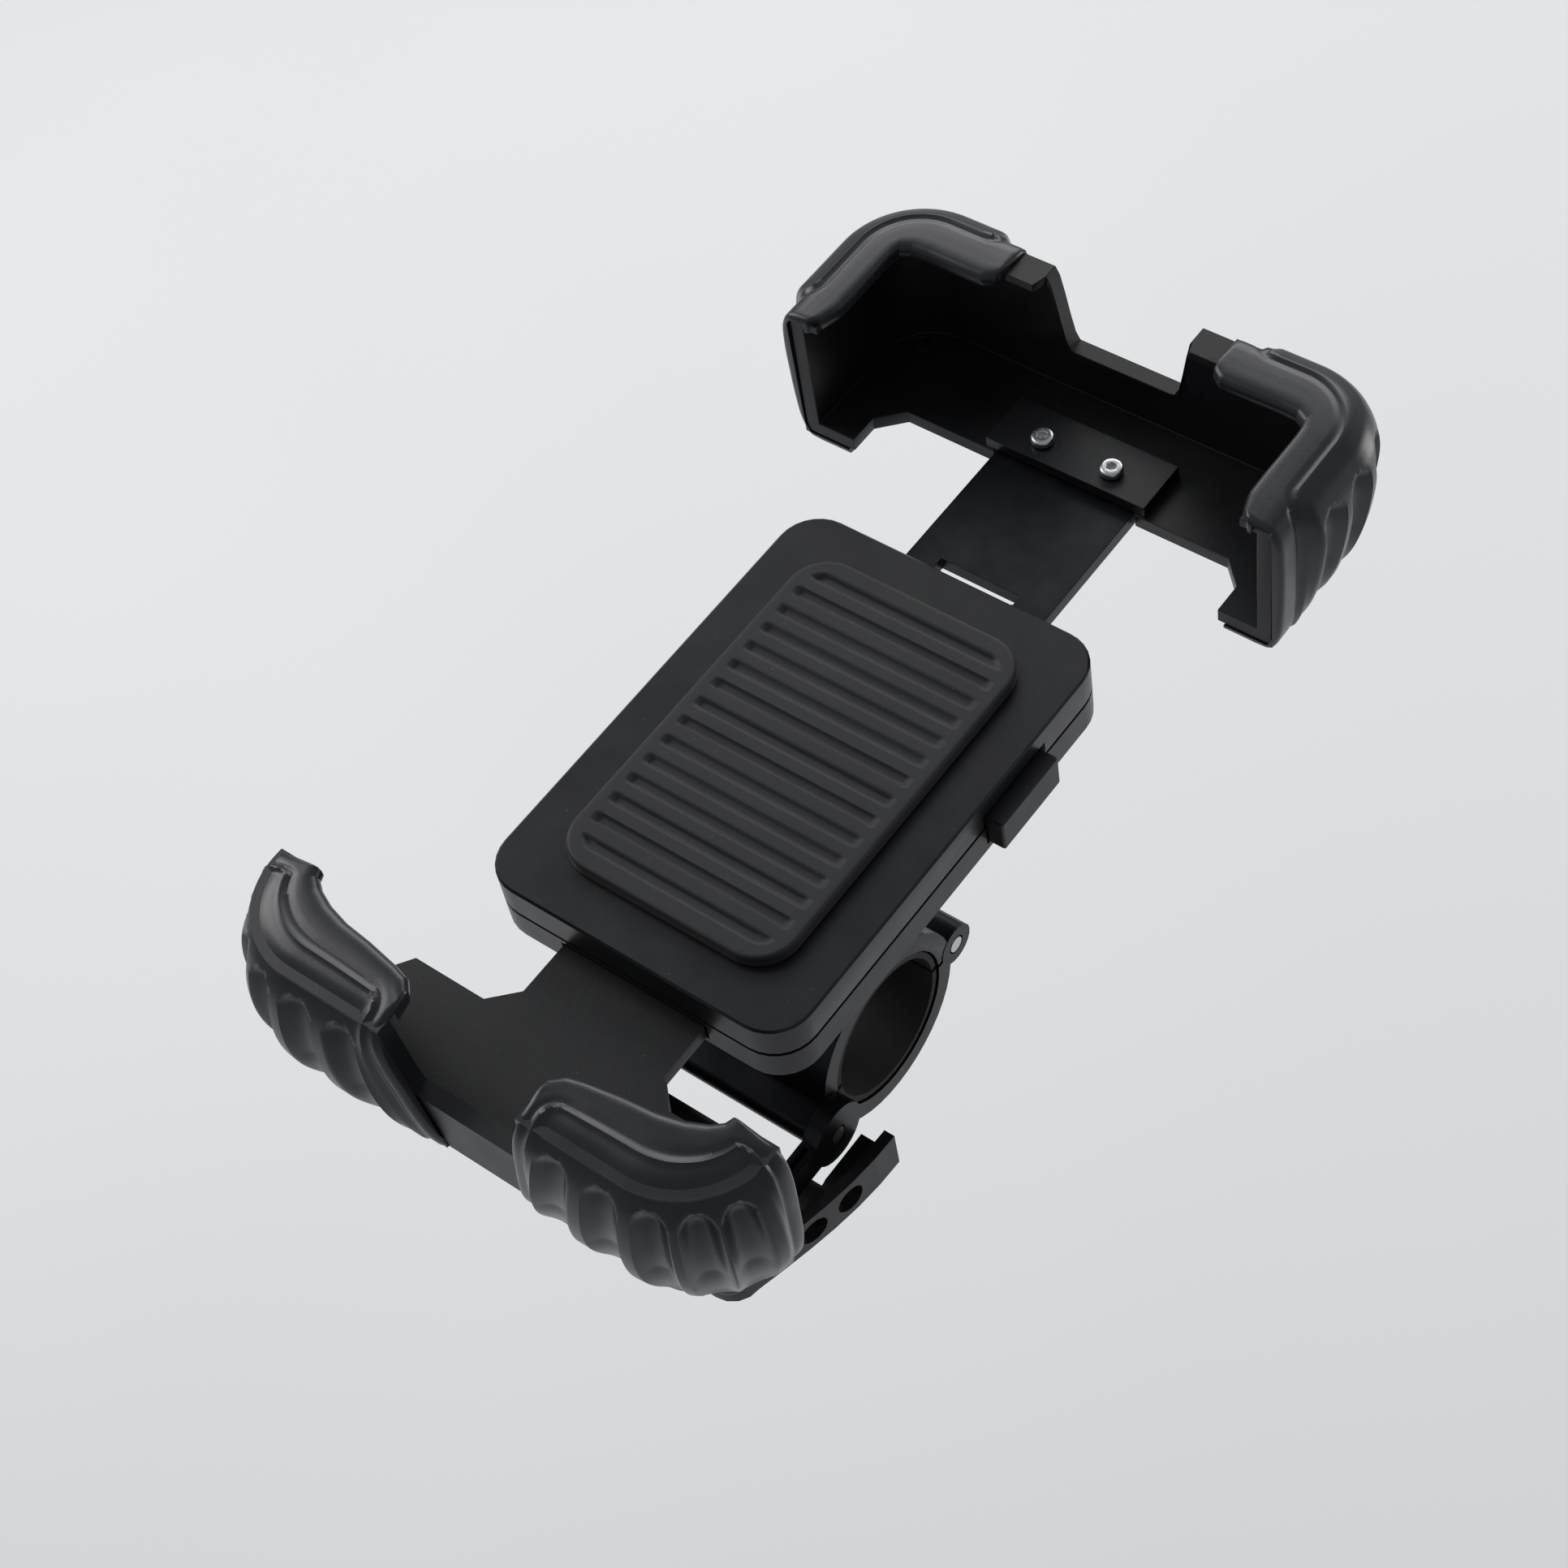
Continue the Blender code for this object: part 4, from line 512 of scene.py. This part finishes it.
def clawSurface(place):
    # A section of distance outwards and height, standing on a line that runs along the arm,
    # round the corner and up the side. The outside is pushed along its own normal: out by
    # the bead, in by the groove, the flutes and the rounding at the ends.
    shape = clawShape
    turn, inward = place["turn"], place["inward"]
    centre = np.array([shape["lineX"] - turn, place["line"] + inward * turn])
    outerTurn = turn + shape["wall"]

    frameCurve = through(clawLip + place["frame"] + clawFoot)
    panelCurve = through(clawLip + place["panel"] + clawFoot)
    low, along, length = evenly(frameCurve, shape["around"])
    high = np.stack([np.interp(along, length, panelCurve[:, k]) for k in (0, 1)], axis=1)
    top = slice(shape["lipPoints"], np.argmax(low[:, 0]))
    bead = np.interp(place["bead"], low[top, 0], along[top])
    down = along - bead
    insideCurve = withCorners(clawInside, len(low))

    armLength = centre[0] - place["armX"][0]
    past = place["sideY"][0] - centre[1]
    sideLength = abs(past) if inward * past > 0 else 0.0
    arcLength = outerTurn * np.pi / 2
    total = armLength + arcLength + sideLength
    near = np.array(shape["endRings"])
    even = np.arange(shape["endRun"][0], total - shape["endRun"][1], shape["rings"])
    reach = np.unique(np.concatenate([near, even, total - near]))
    reach = reach[:, None]

    # base line of every ring, sheared towards slanted ends
    heights = np.concatenate([low[:, 1], insideCurve[:, 1]])
    foot = 1 - np.clip((heights - shape["foot"]) / shape["footRise"], 0, 1)
    armEnd = place["armX"][0] + (place["armX"][1] - place["armX"][0]) * foot
    sideEnd = place["sideY"][0] + (place["sideY"][1] - place["sideY"][0]) * foot
    onArm = np.clip(reach / armLength, 0, 1)
    onArc = np.clip((reach - armLength) / arcLength, 0, 1) * np.pi / 2
    onSide = np.clip((reach - armLength - arcLength) / max(sideLength, 1e-6), 0, 1)
    outX, outY = np.sin(onArc), -inward * np.cos(onArc)
    baseX = np.where(reach <= armLength, armEnd + (centre[0] - armEnd) * onArm,
                     centre[0] + turn * outX)
    baseY = np.where(reach <= armLength + arcLength, centre[1] + turn * outY,
                     centre[1] + (sideEnd - centre[1]) * onSide)

    # how far each point of the outside lies within the panel's border
    start, end = place["margins"][0], total - place["margins"][1]
    radius = shape["borderRadius"]
    qs = np.abs(reach - (start + end) / 2) - ((end - start) / 2 - radius)
    qw = radius - down[None, :]
    within = radius - np.hypot(np.maximum(qs, 0), np.maximum(qw, 0))
    within = within - np.minimum(np.maximum(qs, qw), 0)
    lift = smoothStep((within + shape["liftFrom"]) / shape["liftWide"])[..., None]
    section = low[None] * (1 - lift) + high[None] * lift
    tangent = np.gradient(section, axis=1)
    tangent /= np.linalg.norm(tangent, axis=-1, keepdims=True)
    normal = np.stack([-tangent[..., 1], tangent[..., 0]], axis=-1)

    # bead, groove and flutes: each is a bell or a dome of the distance from its middle
    bottom = smoothStep((along[-1] - shape["borderEnd"] - along) / shape["borderFade"])[None, :]
    raised = np.exp(-((within - shape["beadIn"]) / shape["beadWide"]) ** 2)
    sunk = np.exp(-((within + shape["grooveOut"]) / shape["grooveWide"]) ** 2)
    relief = (shape["beadHigh"] * raised - shape["grooveDeep"] * sunk) * bottom
    scoop = np.zeros_like(within)
    for where in place["flutes"]:
        drop = np.maximum(place["fluteStart"] + shape["fluteHalf"] - down[None, :], 0)
        away = np.hypot(reach - where, drop) / shape["fluteHalf"]
        scoop = np.maximum(scoop, np.clip(1 - away ** shape["fluteSharp"], 0, 1))
    fade = smoothStep((along[-1] - shape["fluteEnd"] - along) / shape["fluteFade"])[None, :]
    scoop = scoop * smoothStep(within / shape["fluteIn"]) * fade
    scoop = scoop * np.interp(low[:, 1], shape["fluteHeights"], shape["fluteShares"])[None, :]
    edge = np.minimum(reach, total - reach)
    ease = shape["endRound"] - np.sqrt(np.maximum(
        shape["endRound"] ** 2 - np.maximum(shape["endRound"] - edge, 0) ** 2, 0))
    section = section + (relief - shape["fluteDeep"] * scoop - ease)[..., None] * normal

    # the lip is ruled from its outer line to its inner edge, and the rest follows the base
    inside = np.broadcast_to(insideCurve[None], (len(reach),) + insideCurve.shape)
    section = np.concatenate([section, inside], axis=1)
    u, z = section[..., 0], section[..., 1]
    keys = np.array(place["inner"])
    innerX = np.interp(reach, keys[:, 0], keys[:, 1])
    innerY = np.interp(reach, keys[:, 0], keys[:, 2])
    ruled = (u < 0) & (z > shape["lipOver"])
    part = np.where(ruled, -u / shape["lip"], 0.0)
    x = baseX + np.where(ruled, part * (innerX - baseX), u * outX)
    y = baseY + np.where(ruled, part * (innerY - baseY), u * outY)
    return np.stack([x, y, z], axis=-1)


def makeClaws():
    # Each ring is closed from its inside points back to its outside ones, and each end by a
    # strip from the outside's points to the inside's, taken in the opposite order.
    for word, place in clawPlaces.items():
        points = clawSurface(place)
        half = points.shape[1] // 2
        closed = np.concatenate([points, points[:, :1]], axis=1)
        ends = [np.stack([points[k, :half], points[k, half:][::-1]]) for k in (0, -1)]
        for hand, side in (("right", 1.0), ("left", -1.0)):
            grids = [(grid * (side, 1, 1), False, False) for grid in [closed] + ends]
            makePiece(f"claw_{word}_{hand}", grids, f"claw_cover_{word}_{hand}", "claw")
        print("claws made:", word)


makeClaws()


# pad, screws and turned parts

def boxOf(node):
    # the solid's lowest and highest corners
    low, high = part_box(node)
    return np.array(low) * 1000, np.array(high) * 1000


def roundedSheet(across, along, middle, half, corner):
    # A rectangle given by shares of its half sizes, -1 to 1. In each corner square a point's
    # two shares are drawn in by the root of one less half the other's square, so that the
    # square's outer edges land on the corner's quarter circle.
    straight = half - corner
    pastX = np.maximum(np.abs(across) * half[0] - straight[0], 0) / corner
    pastY = np.maximum(np.abs(along) * half[1] - straight[1], 0) / corner
    bendX = corner * pastX * np.sqrt(1 - pastY ** 2 / 2)
    bendY = corner * pastY * np.sqrt(1 - pastX ** 2 / 2)
    x = np.minimum(np.abs(across) * half[0], straight[0]) + bendX
    y = np.minimum(np.abs(along) * half[1], straight[1]) + bendY
    return np.stack([middle[0] + np.sign(across) * x, middle[1] + np.sign(along) * y], axis=-1)


padShape = {
    "corner": 7.0, "edge": 0.7, "edgeRings": 6,
    "border": 2.6, "borderFade": 0.6,       # the flat border, and how softly the ribs meet it
    "ribPitch": 4.25, "ribDeep": 0.6, "ribSharp": 0.35,
    "steps": (0.6, 0.3),                    # across and along
}


def makePad():
    # A flat-bottomed sheet with a rounded edge. On top the height dips in even grooves
    # across the pad, all inside a flat border.
    shape = padShape
    low, high = boxOf("centre_pad")
    half, middle = (high - low)[:2] / 2, (high + low)[:2] / 2
    edge, corner = shape["edge"], shape["corner"]
    counts = [1 + 2 * int(half[k] / shape["steps"][k]) for k in (0, 1)]
    shareX, shareY = (np.linspace(-1, 1, count) for count in counts)
    gridX, gridY = np.meshgrid(shareX, shareY)
    flat = roundedSheet(gridX, gridY, middle, half - edge, corner - edge)
    past = np.abs(flat - middle) - (half - corner)
    inside = corner - np.hypot(*np.moveaxis(np.maximum(past, 0), -1, 0))
    inside = inside - np.minimum(past.max(axis=-1), 0)
    wave = 0.5 + 0.5 * np.cos(2 * np.pi * (flat[..., 1] - middle[1]) / shape["ribPitch"])
    dip = shape["ribDeep"] * smoothStep((wave - 0.5) / shape["ribSharp"])
    z = high[2] - dip * smoothStep((inside - shape["border"]) / shape["borderFade"])
    top = np.concatenate([flat, z[..., None]], axis=-1)

    rim = [(gridX[0], gridY[0]), (gridX[:, -1], gridY[:, -1]),
           (gridX[-1, ::-1], gridY[-1, ::-1]), (gridX[::-1, 0], gridY[::-1, 0])]
    rimX, rimY = (np.concatenate([side[k] for side in rim]) for k in (0, 1))
    foot = roundedSheet(rimX, rimY, middle, half, corner)
    rings = [np.column_stack([foot, np.full(len(rimX), low[2])])]
    for turn in np.linspace(0, np.pi / 2, shape["edgeRings"]):
        drawn = edge * (1 - np.cos(turn))
        ring = roundedSheet(rimX, rimY, middle, half - drawn, corner - drawn)
        level = high[2] - edge * (1 - np.sin(turn))
        rings.append(np.column_stack([ring, np.full(len(rimX), level)]))
    under = roundedSheet(gridX, gridY, middle, half, corner)
    under = np.concatenate([under, np.full(gridX.shape + (1,), low[2])], axis=-1)
    grids = [(top, False, False), (np.stack(rings), False, False), (under, False, False)]
    pad = makePiece("ribbed_pad", grids, "centre_pad", "pad")


screwShape = {
    "shank": 1.1, "head": 2.0, "headHigh": 1.2, "socket": 0.85, "socketDeep": 0.75,
    "across": 1.08,            # the hexagon against the turned socket
    "corners": (0, 0.3, 0.05, 0.12, 0.7, 0.08, 0.05, 0), "cornerSteps": 4,
    "around": 60,
}


def makeScrews():
    # A pan head with a six-sided socket: the profile is turned, and the socket's points
    # stand at the distance of a hexagon's side in each direction.
    shape = screwShape
    angle = np.linspace(0, 2 * np.pi, shape["around"], endpoint=False)[:, None]
    six = np.cos(np.pi / 6) / np.cos(angle % (np.pi / 3) - np.pi / 6) * shape["across"]
    for node in [name for name in nodeBody if "_screw_" in name]:
        low, high = boxOf(node)
        up = -1.0 if node.startswith("body") else 1.0
        top, end = (high[2], low[2]) if up > 0 else (low[2], high[2])
        under = top - up * shape["headHigh"]
        floor = top - up * shape["socketDeep"]
        solid = softCorners([(0.0, end), (shape["shank"], end), (shape["shank"], under),
                             (shape["head"], under), (shape["head"], top),
                             (shape["socket"], top), (shape["socket"], floor), (0.0, floor)],
                            shape["corners"], shape["cornerSteps"])
        points = spin(solid, shape["around"])
        nearTop = np.abs(solid[:, 1] - top) < shape["headHigh"]
        inSocket = (solid[:, 0] < shape["head"] * 0.6) & nearTop
        points[..., :2] *= np.where(inSocket[None], six, 1.0)[..., None]
        points[..., :2] += ((low + high) / 2)[:2]
        makePiece(f"{node}_turned", [(points, True, True)], node, "screw")


# radii and heights; each list of corners says how far back its curve starts
turnedShape = {
    "ballAt": 32.5, "ball": 7.5, "neck": 3.6, "neckHigh": 3, "flange": 2.4, "ballSteps": 40,
    "studCorners": (0, 0.3, 0.5, 1.1, 0), "studSteps": 5,
    "socket": 10.7, "skirt": 16.0, "deck": 4.2, "domeSteps": 24,
    "housingCorners": (0, 0.4, 0.8, 1.4, 0.8, 0), "housingSteps": 6,
}
ringShape = {
    "mouth": 9.46, "bore": 10.11, "thread": 16.3, "floor": 1.5,
    "corners": (0.2, 0.2, 0.3, 0.4, 1.3, 1.3), "cornerSteps": 6,
    "ribs": 22, "ribSteps": 16, "ribDeep": 0.8, "ribSharp": 2.2,
    "ribReach": (1.6, 1.3),    # how far in from the outside the ribs start, and their fade
    "ribTall": (0.2, 1.5), "ribShares": (0.35, 0.65),
}
rivetShape = {"head": 3.0, "headHigh": 2.6, "shank": 1.4, "around": 60,
              "corners": (0, 1.9, 0.15, 0.1, 0.2, 0), "cornerSteps": 6}


def ballArc(radius, first, last, steps):
    # an arc about the ball's centre, between two angles in degrees from straight up
    angle = np.radians(np.linspace(first, last, steps))
    height = turnedShape["ballAt"] + radius * np.cos(angle)
    return np.stack([radius * np.sin(angle), height], axis=1)


def makeStud():
    # A flange with a neck, whose last curve gives way to the ball's arc up to the pole.
    shape = turnedShape
    ball, neck = shape["ball"], shape["neck"]
    low, high = boxOf("ball_stud")
    wide, step = high[0], low[2] + shape["flange"]
    foot = softCorners([(0, low[2]), (wide, low[2]), (wide, step), (neck, step),
                        (neck, step + shape["neckHigh"])],
                       shape["studCorners"], shape["studSteps"])
    waist = 180 - np.degrees(np.arcsin(neck / ball))
    foot = foot[:-shape["studSteps"] - 1]
    profile = np.concatenate([foot, ballArc(ball, waist, 0, shape["ballSteps"])])
    makePiece("ball_stud_turned", [(spin(profile), True, False)], "ball_stud", "stud")


def makeHousing():
    # A domed socket inside, and outside a skirt under a wider deck.
    shape = turnedShape
    socket, skirt = shape["socket"], shape["skirt"]
    low, high = boxOf("socket_housing")
    edge, rim = low[2], high[2] - shape["deck"]
    dome = ballArc(socket, 0, 90, shape["domeSteps"])
    outside = softCorners([(socket, edge), (skirt, edge), (skirt, rim), (high[0], rim),
                           (high[0], high[2]), (0, high[2])],
                          shape["housingCorners"], shape["housingSteps"])
    profile = np.concatenate([dome, outside])
    makePiece("socket_housing_turned", [(spin(profile), True, False)], "socket_housing",
              "housing")


def makeRing():
    # A turned ring whose outside is drawn in by a sharpened cosine of the angle, so that
    # ribs stand between the hollows and fade towards its two edges.
    shape = ringShape
    low, high = boxOf("lock_ring")
    outer, floor = high[0], low[2] + shape["floor"]
    profile = softCorners([(shape["mouth"], low[2]), (shape["bore"], floor),
                           (shape["thread"], floor), (shape["thread"], high[2]),
                           (outer, high[2]), (outer, low[2])],
                          shape["corners"], shape["cornerSteps"])
    points = spin(profile, shape["ribs"] * shape["ribSteps"])
    angle = np.arctan2(points[..., 1], points[..., 0])
    groove = (0.5 - 0.5 * np.cos(shape["ribs"] * angle)) ** shape["ribSharp"]
    reach, fade = shape["ribReach"]
    onRib = smoothStep((profile[:, 0] - outer + reach) / fade)[None]
    past, rise = shape["ribTall"]
    tall = smoothStep((profile[:, 1] - low[2] + past) / rise)
    tall = tall * smoothStep((high[2] + past - profile[:, 1]) / rise)
    least, more = shape["ribShares"]
    shrink = 1 - shape["ribDeep"] * groove * onRib * (least + more * tall[None]) / outer
    points[..., :2] *= shrink[..., None]
    makePiece("lock_ring_ribbed", [(points, True, True)], "lock_ring", "ring")


def makeRivets():
    # a domed head below, a shank up through the bracket
    shape = rivetShape
    head, shank = shape["head"], shape["shank"]
    for node in [name for name in nodeBody if "_rivet_" in name]:
        low, high = boxOf(node)
        seat = low[2] + shape["headHigh"]
        solid = softCorners([(0, low[2]), (head, low[2]), (head, seat), (shank, seat),
                             (shank, high[2]), (0, high[2])],
                            shape["corners"], shape["cornerSteps"])
        points = spin(solid, shape["around"], ((low + high) / 2)[:2])
        makePiece(f"{node}_turned", [(points, True, False)], node, "rivet")


makePad()
makeScrews()
makeStud()
makeHousing()
makeRing()
makeRivets()
print("pad, screws and turned parts made")


# springs: fixed coils of round wire, wound where their solids stand

springShape = {
    "return_spring_left": {"wire": 0.4, "turns": 11, "axis": 1,
                           "moving": "slider", "movingEnd": 0},
    "return_spring_right": {"wire": 0.4, "turns": 11, "axis": 1,
                            "moving": "slider", "movingEnd": 0},
    "button_spring": {"wire": 0.2, "turns": 3, "axis": 0,
                      "moving": "button", "movingEnd": 1},
}
coilSteps, wireSides = 28, 10      # rings in each turn, and points round the wire


def makeSprings():
    # A helix of round wire: the centre turns about the spring's axis and climbs evenly, and
    # each ring of the wire lies in the plane of the axis and the outward direction.
    for node, shape in springShape.items():
        low, high = boxOf(node)
        middle, wire, axis = (low + high) / 2, shape["wire"], shape["axis"]
        cross = 1 - axis
        coil = (high[2] - low[2]) / 2 - wire
        count = shape["turns"] * coilSteps + 1
        turn = np.linspace(0, 2 * np.pi * shape["turns"], count)[:, None]
        around = np.linspace(0, 2 * np.pi, wireSides + 1)[None, :-1]
        climb = np.linspace(low[axis] + wire, high[axis] - wire, count)[:, None]
        outward = coil + wire * np.cos(around)
        points = np.empty((count, wireSides, 3))
        points[..., axis] = climb + wire * np.sin(around)
        points[..., cross] = middle[cross] + outward * np.cos(turn)
        points[..., 2] = middle[2] + outward * np.sin(turn)
        spring = makePiece(f"{node}_wound", [(points, False, True)], node, "spring", rides=False)
        ends = np.stack([middle, middle])
        ends[:, axis] = (low[axis], high[axis])
        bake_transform(spring)


makeSprings()
print("springs wound:", len(springShape))


# parts that keep their solid's shape, with worked edges

softEdges = {
    "body_front": 0.55, "body_back": 0.40, "lower_bracket": 0.35, "upper_bracket": 0.35,
    "clamp_saddle": 0.35, "clamp_jaw": 0.35, "latch_frame": 0.45, "latch_grip": 0.45,
    "slide_plate": 0.20, "lock_button": 0.40, "saddle_liner": 0.15, "jaw_liner": 0.15,
    "pinion": 0.10, "brake_shoe": 0.15,
}
edgeWork = {
    "weld": 2e-6,              # metres
    "flatWithin": 0.02,        # radians
    "segments": 3,
    "roundOver": 28, "sharpOver": 40,       # degrees
}


def makeSoftened():
    # A merged copy of the solid, flat where it is flat, with a narrow round on each edge.
    for node, width in softEdges.items():
        mesh = frame["nodes"][node].data.copy()
        shell = bmesh.new()
        shell.from_mesh(mesh)
        bmesh.ops.remove_doubles(shell, verts=shell.verts, dist=edgeWork["weld"])
        bmesh.ops.dissolve_limit(shell, angle_limit=edgeWork["flatWithin"],
                                 verts=shell.verts, edges=shell.edges)
        shell.to_mesh(mesh)
        shell.free()
        mesh.materials.clear()
        mesh.materials.append(finishes[nodeSlot[node]])
        piece = bpy.data.objects.new(f"{node}_shaped", mesh)
        bpy.context.scene.collection.objects.link(piece)
        rounding = piece.modifiers.new("rounding", "BEVEL")
        rounding.width = width * 0.001
        rounding.segments = edgeWork["segments"]
        rounding.limit_method = "ANGLE"
        rounding.angle_limit = np.radians(edgeWork["roundOver"])
        rounding.use_clamp_overlap = True
        rounding.harden_normals = True
        mesh.shade_smooth()
        mesh.set_sharp_from_angle(angle=np.radians(edgeWork["sharpOver"]))
        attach(piece, nodeBody[node])
        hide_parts(node)


makeSoftened()
print("edges worked:", len(softEdges))

# the solids that stay as they are get the same finishes
for node, solid in frame["nodes"].items():
    for slot in solid.material_slots:
        slot.material = finishes[nodeSlot[node]]
    if not solid.material_slots:
        solid.data.materials.append(finishes[nodeSlot[node]])
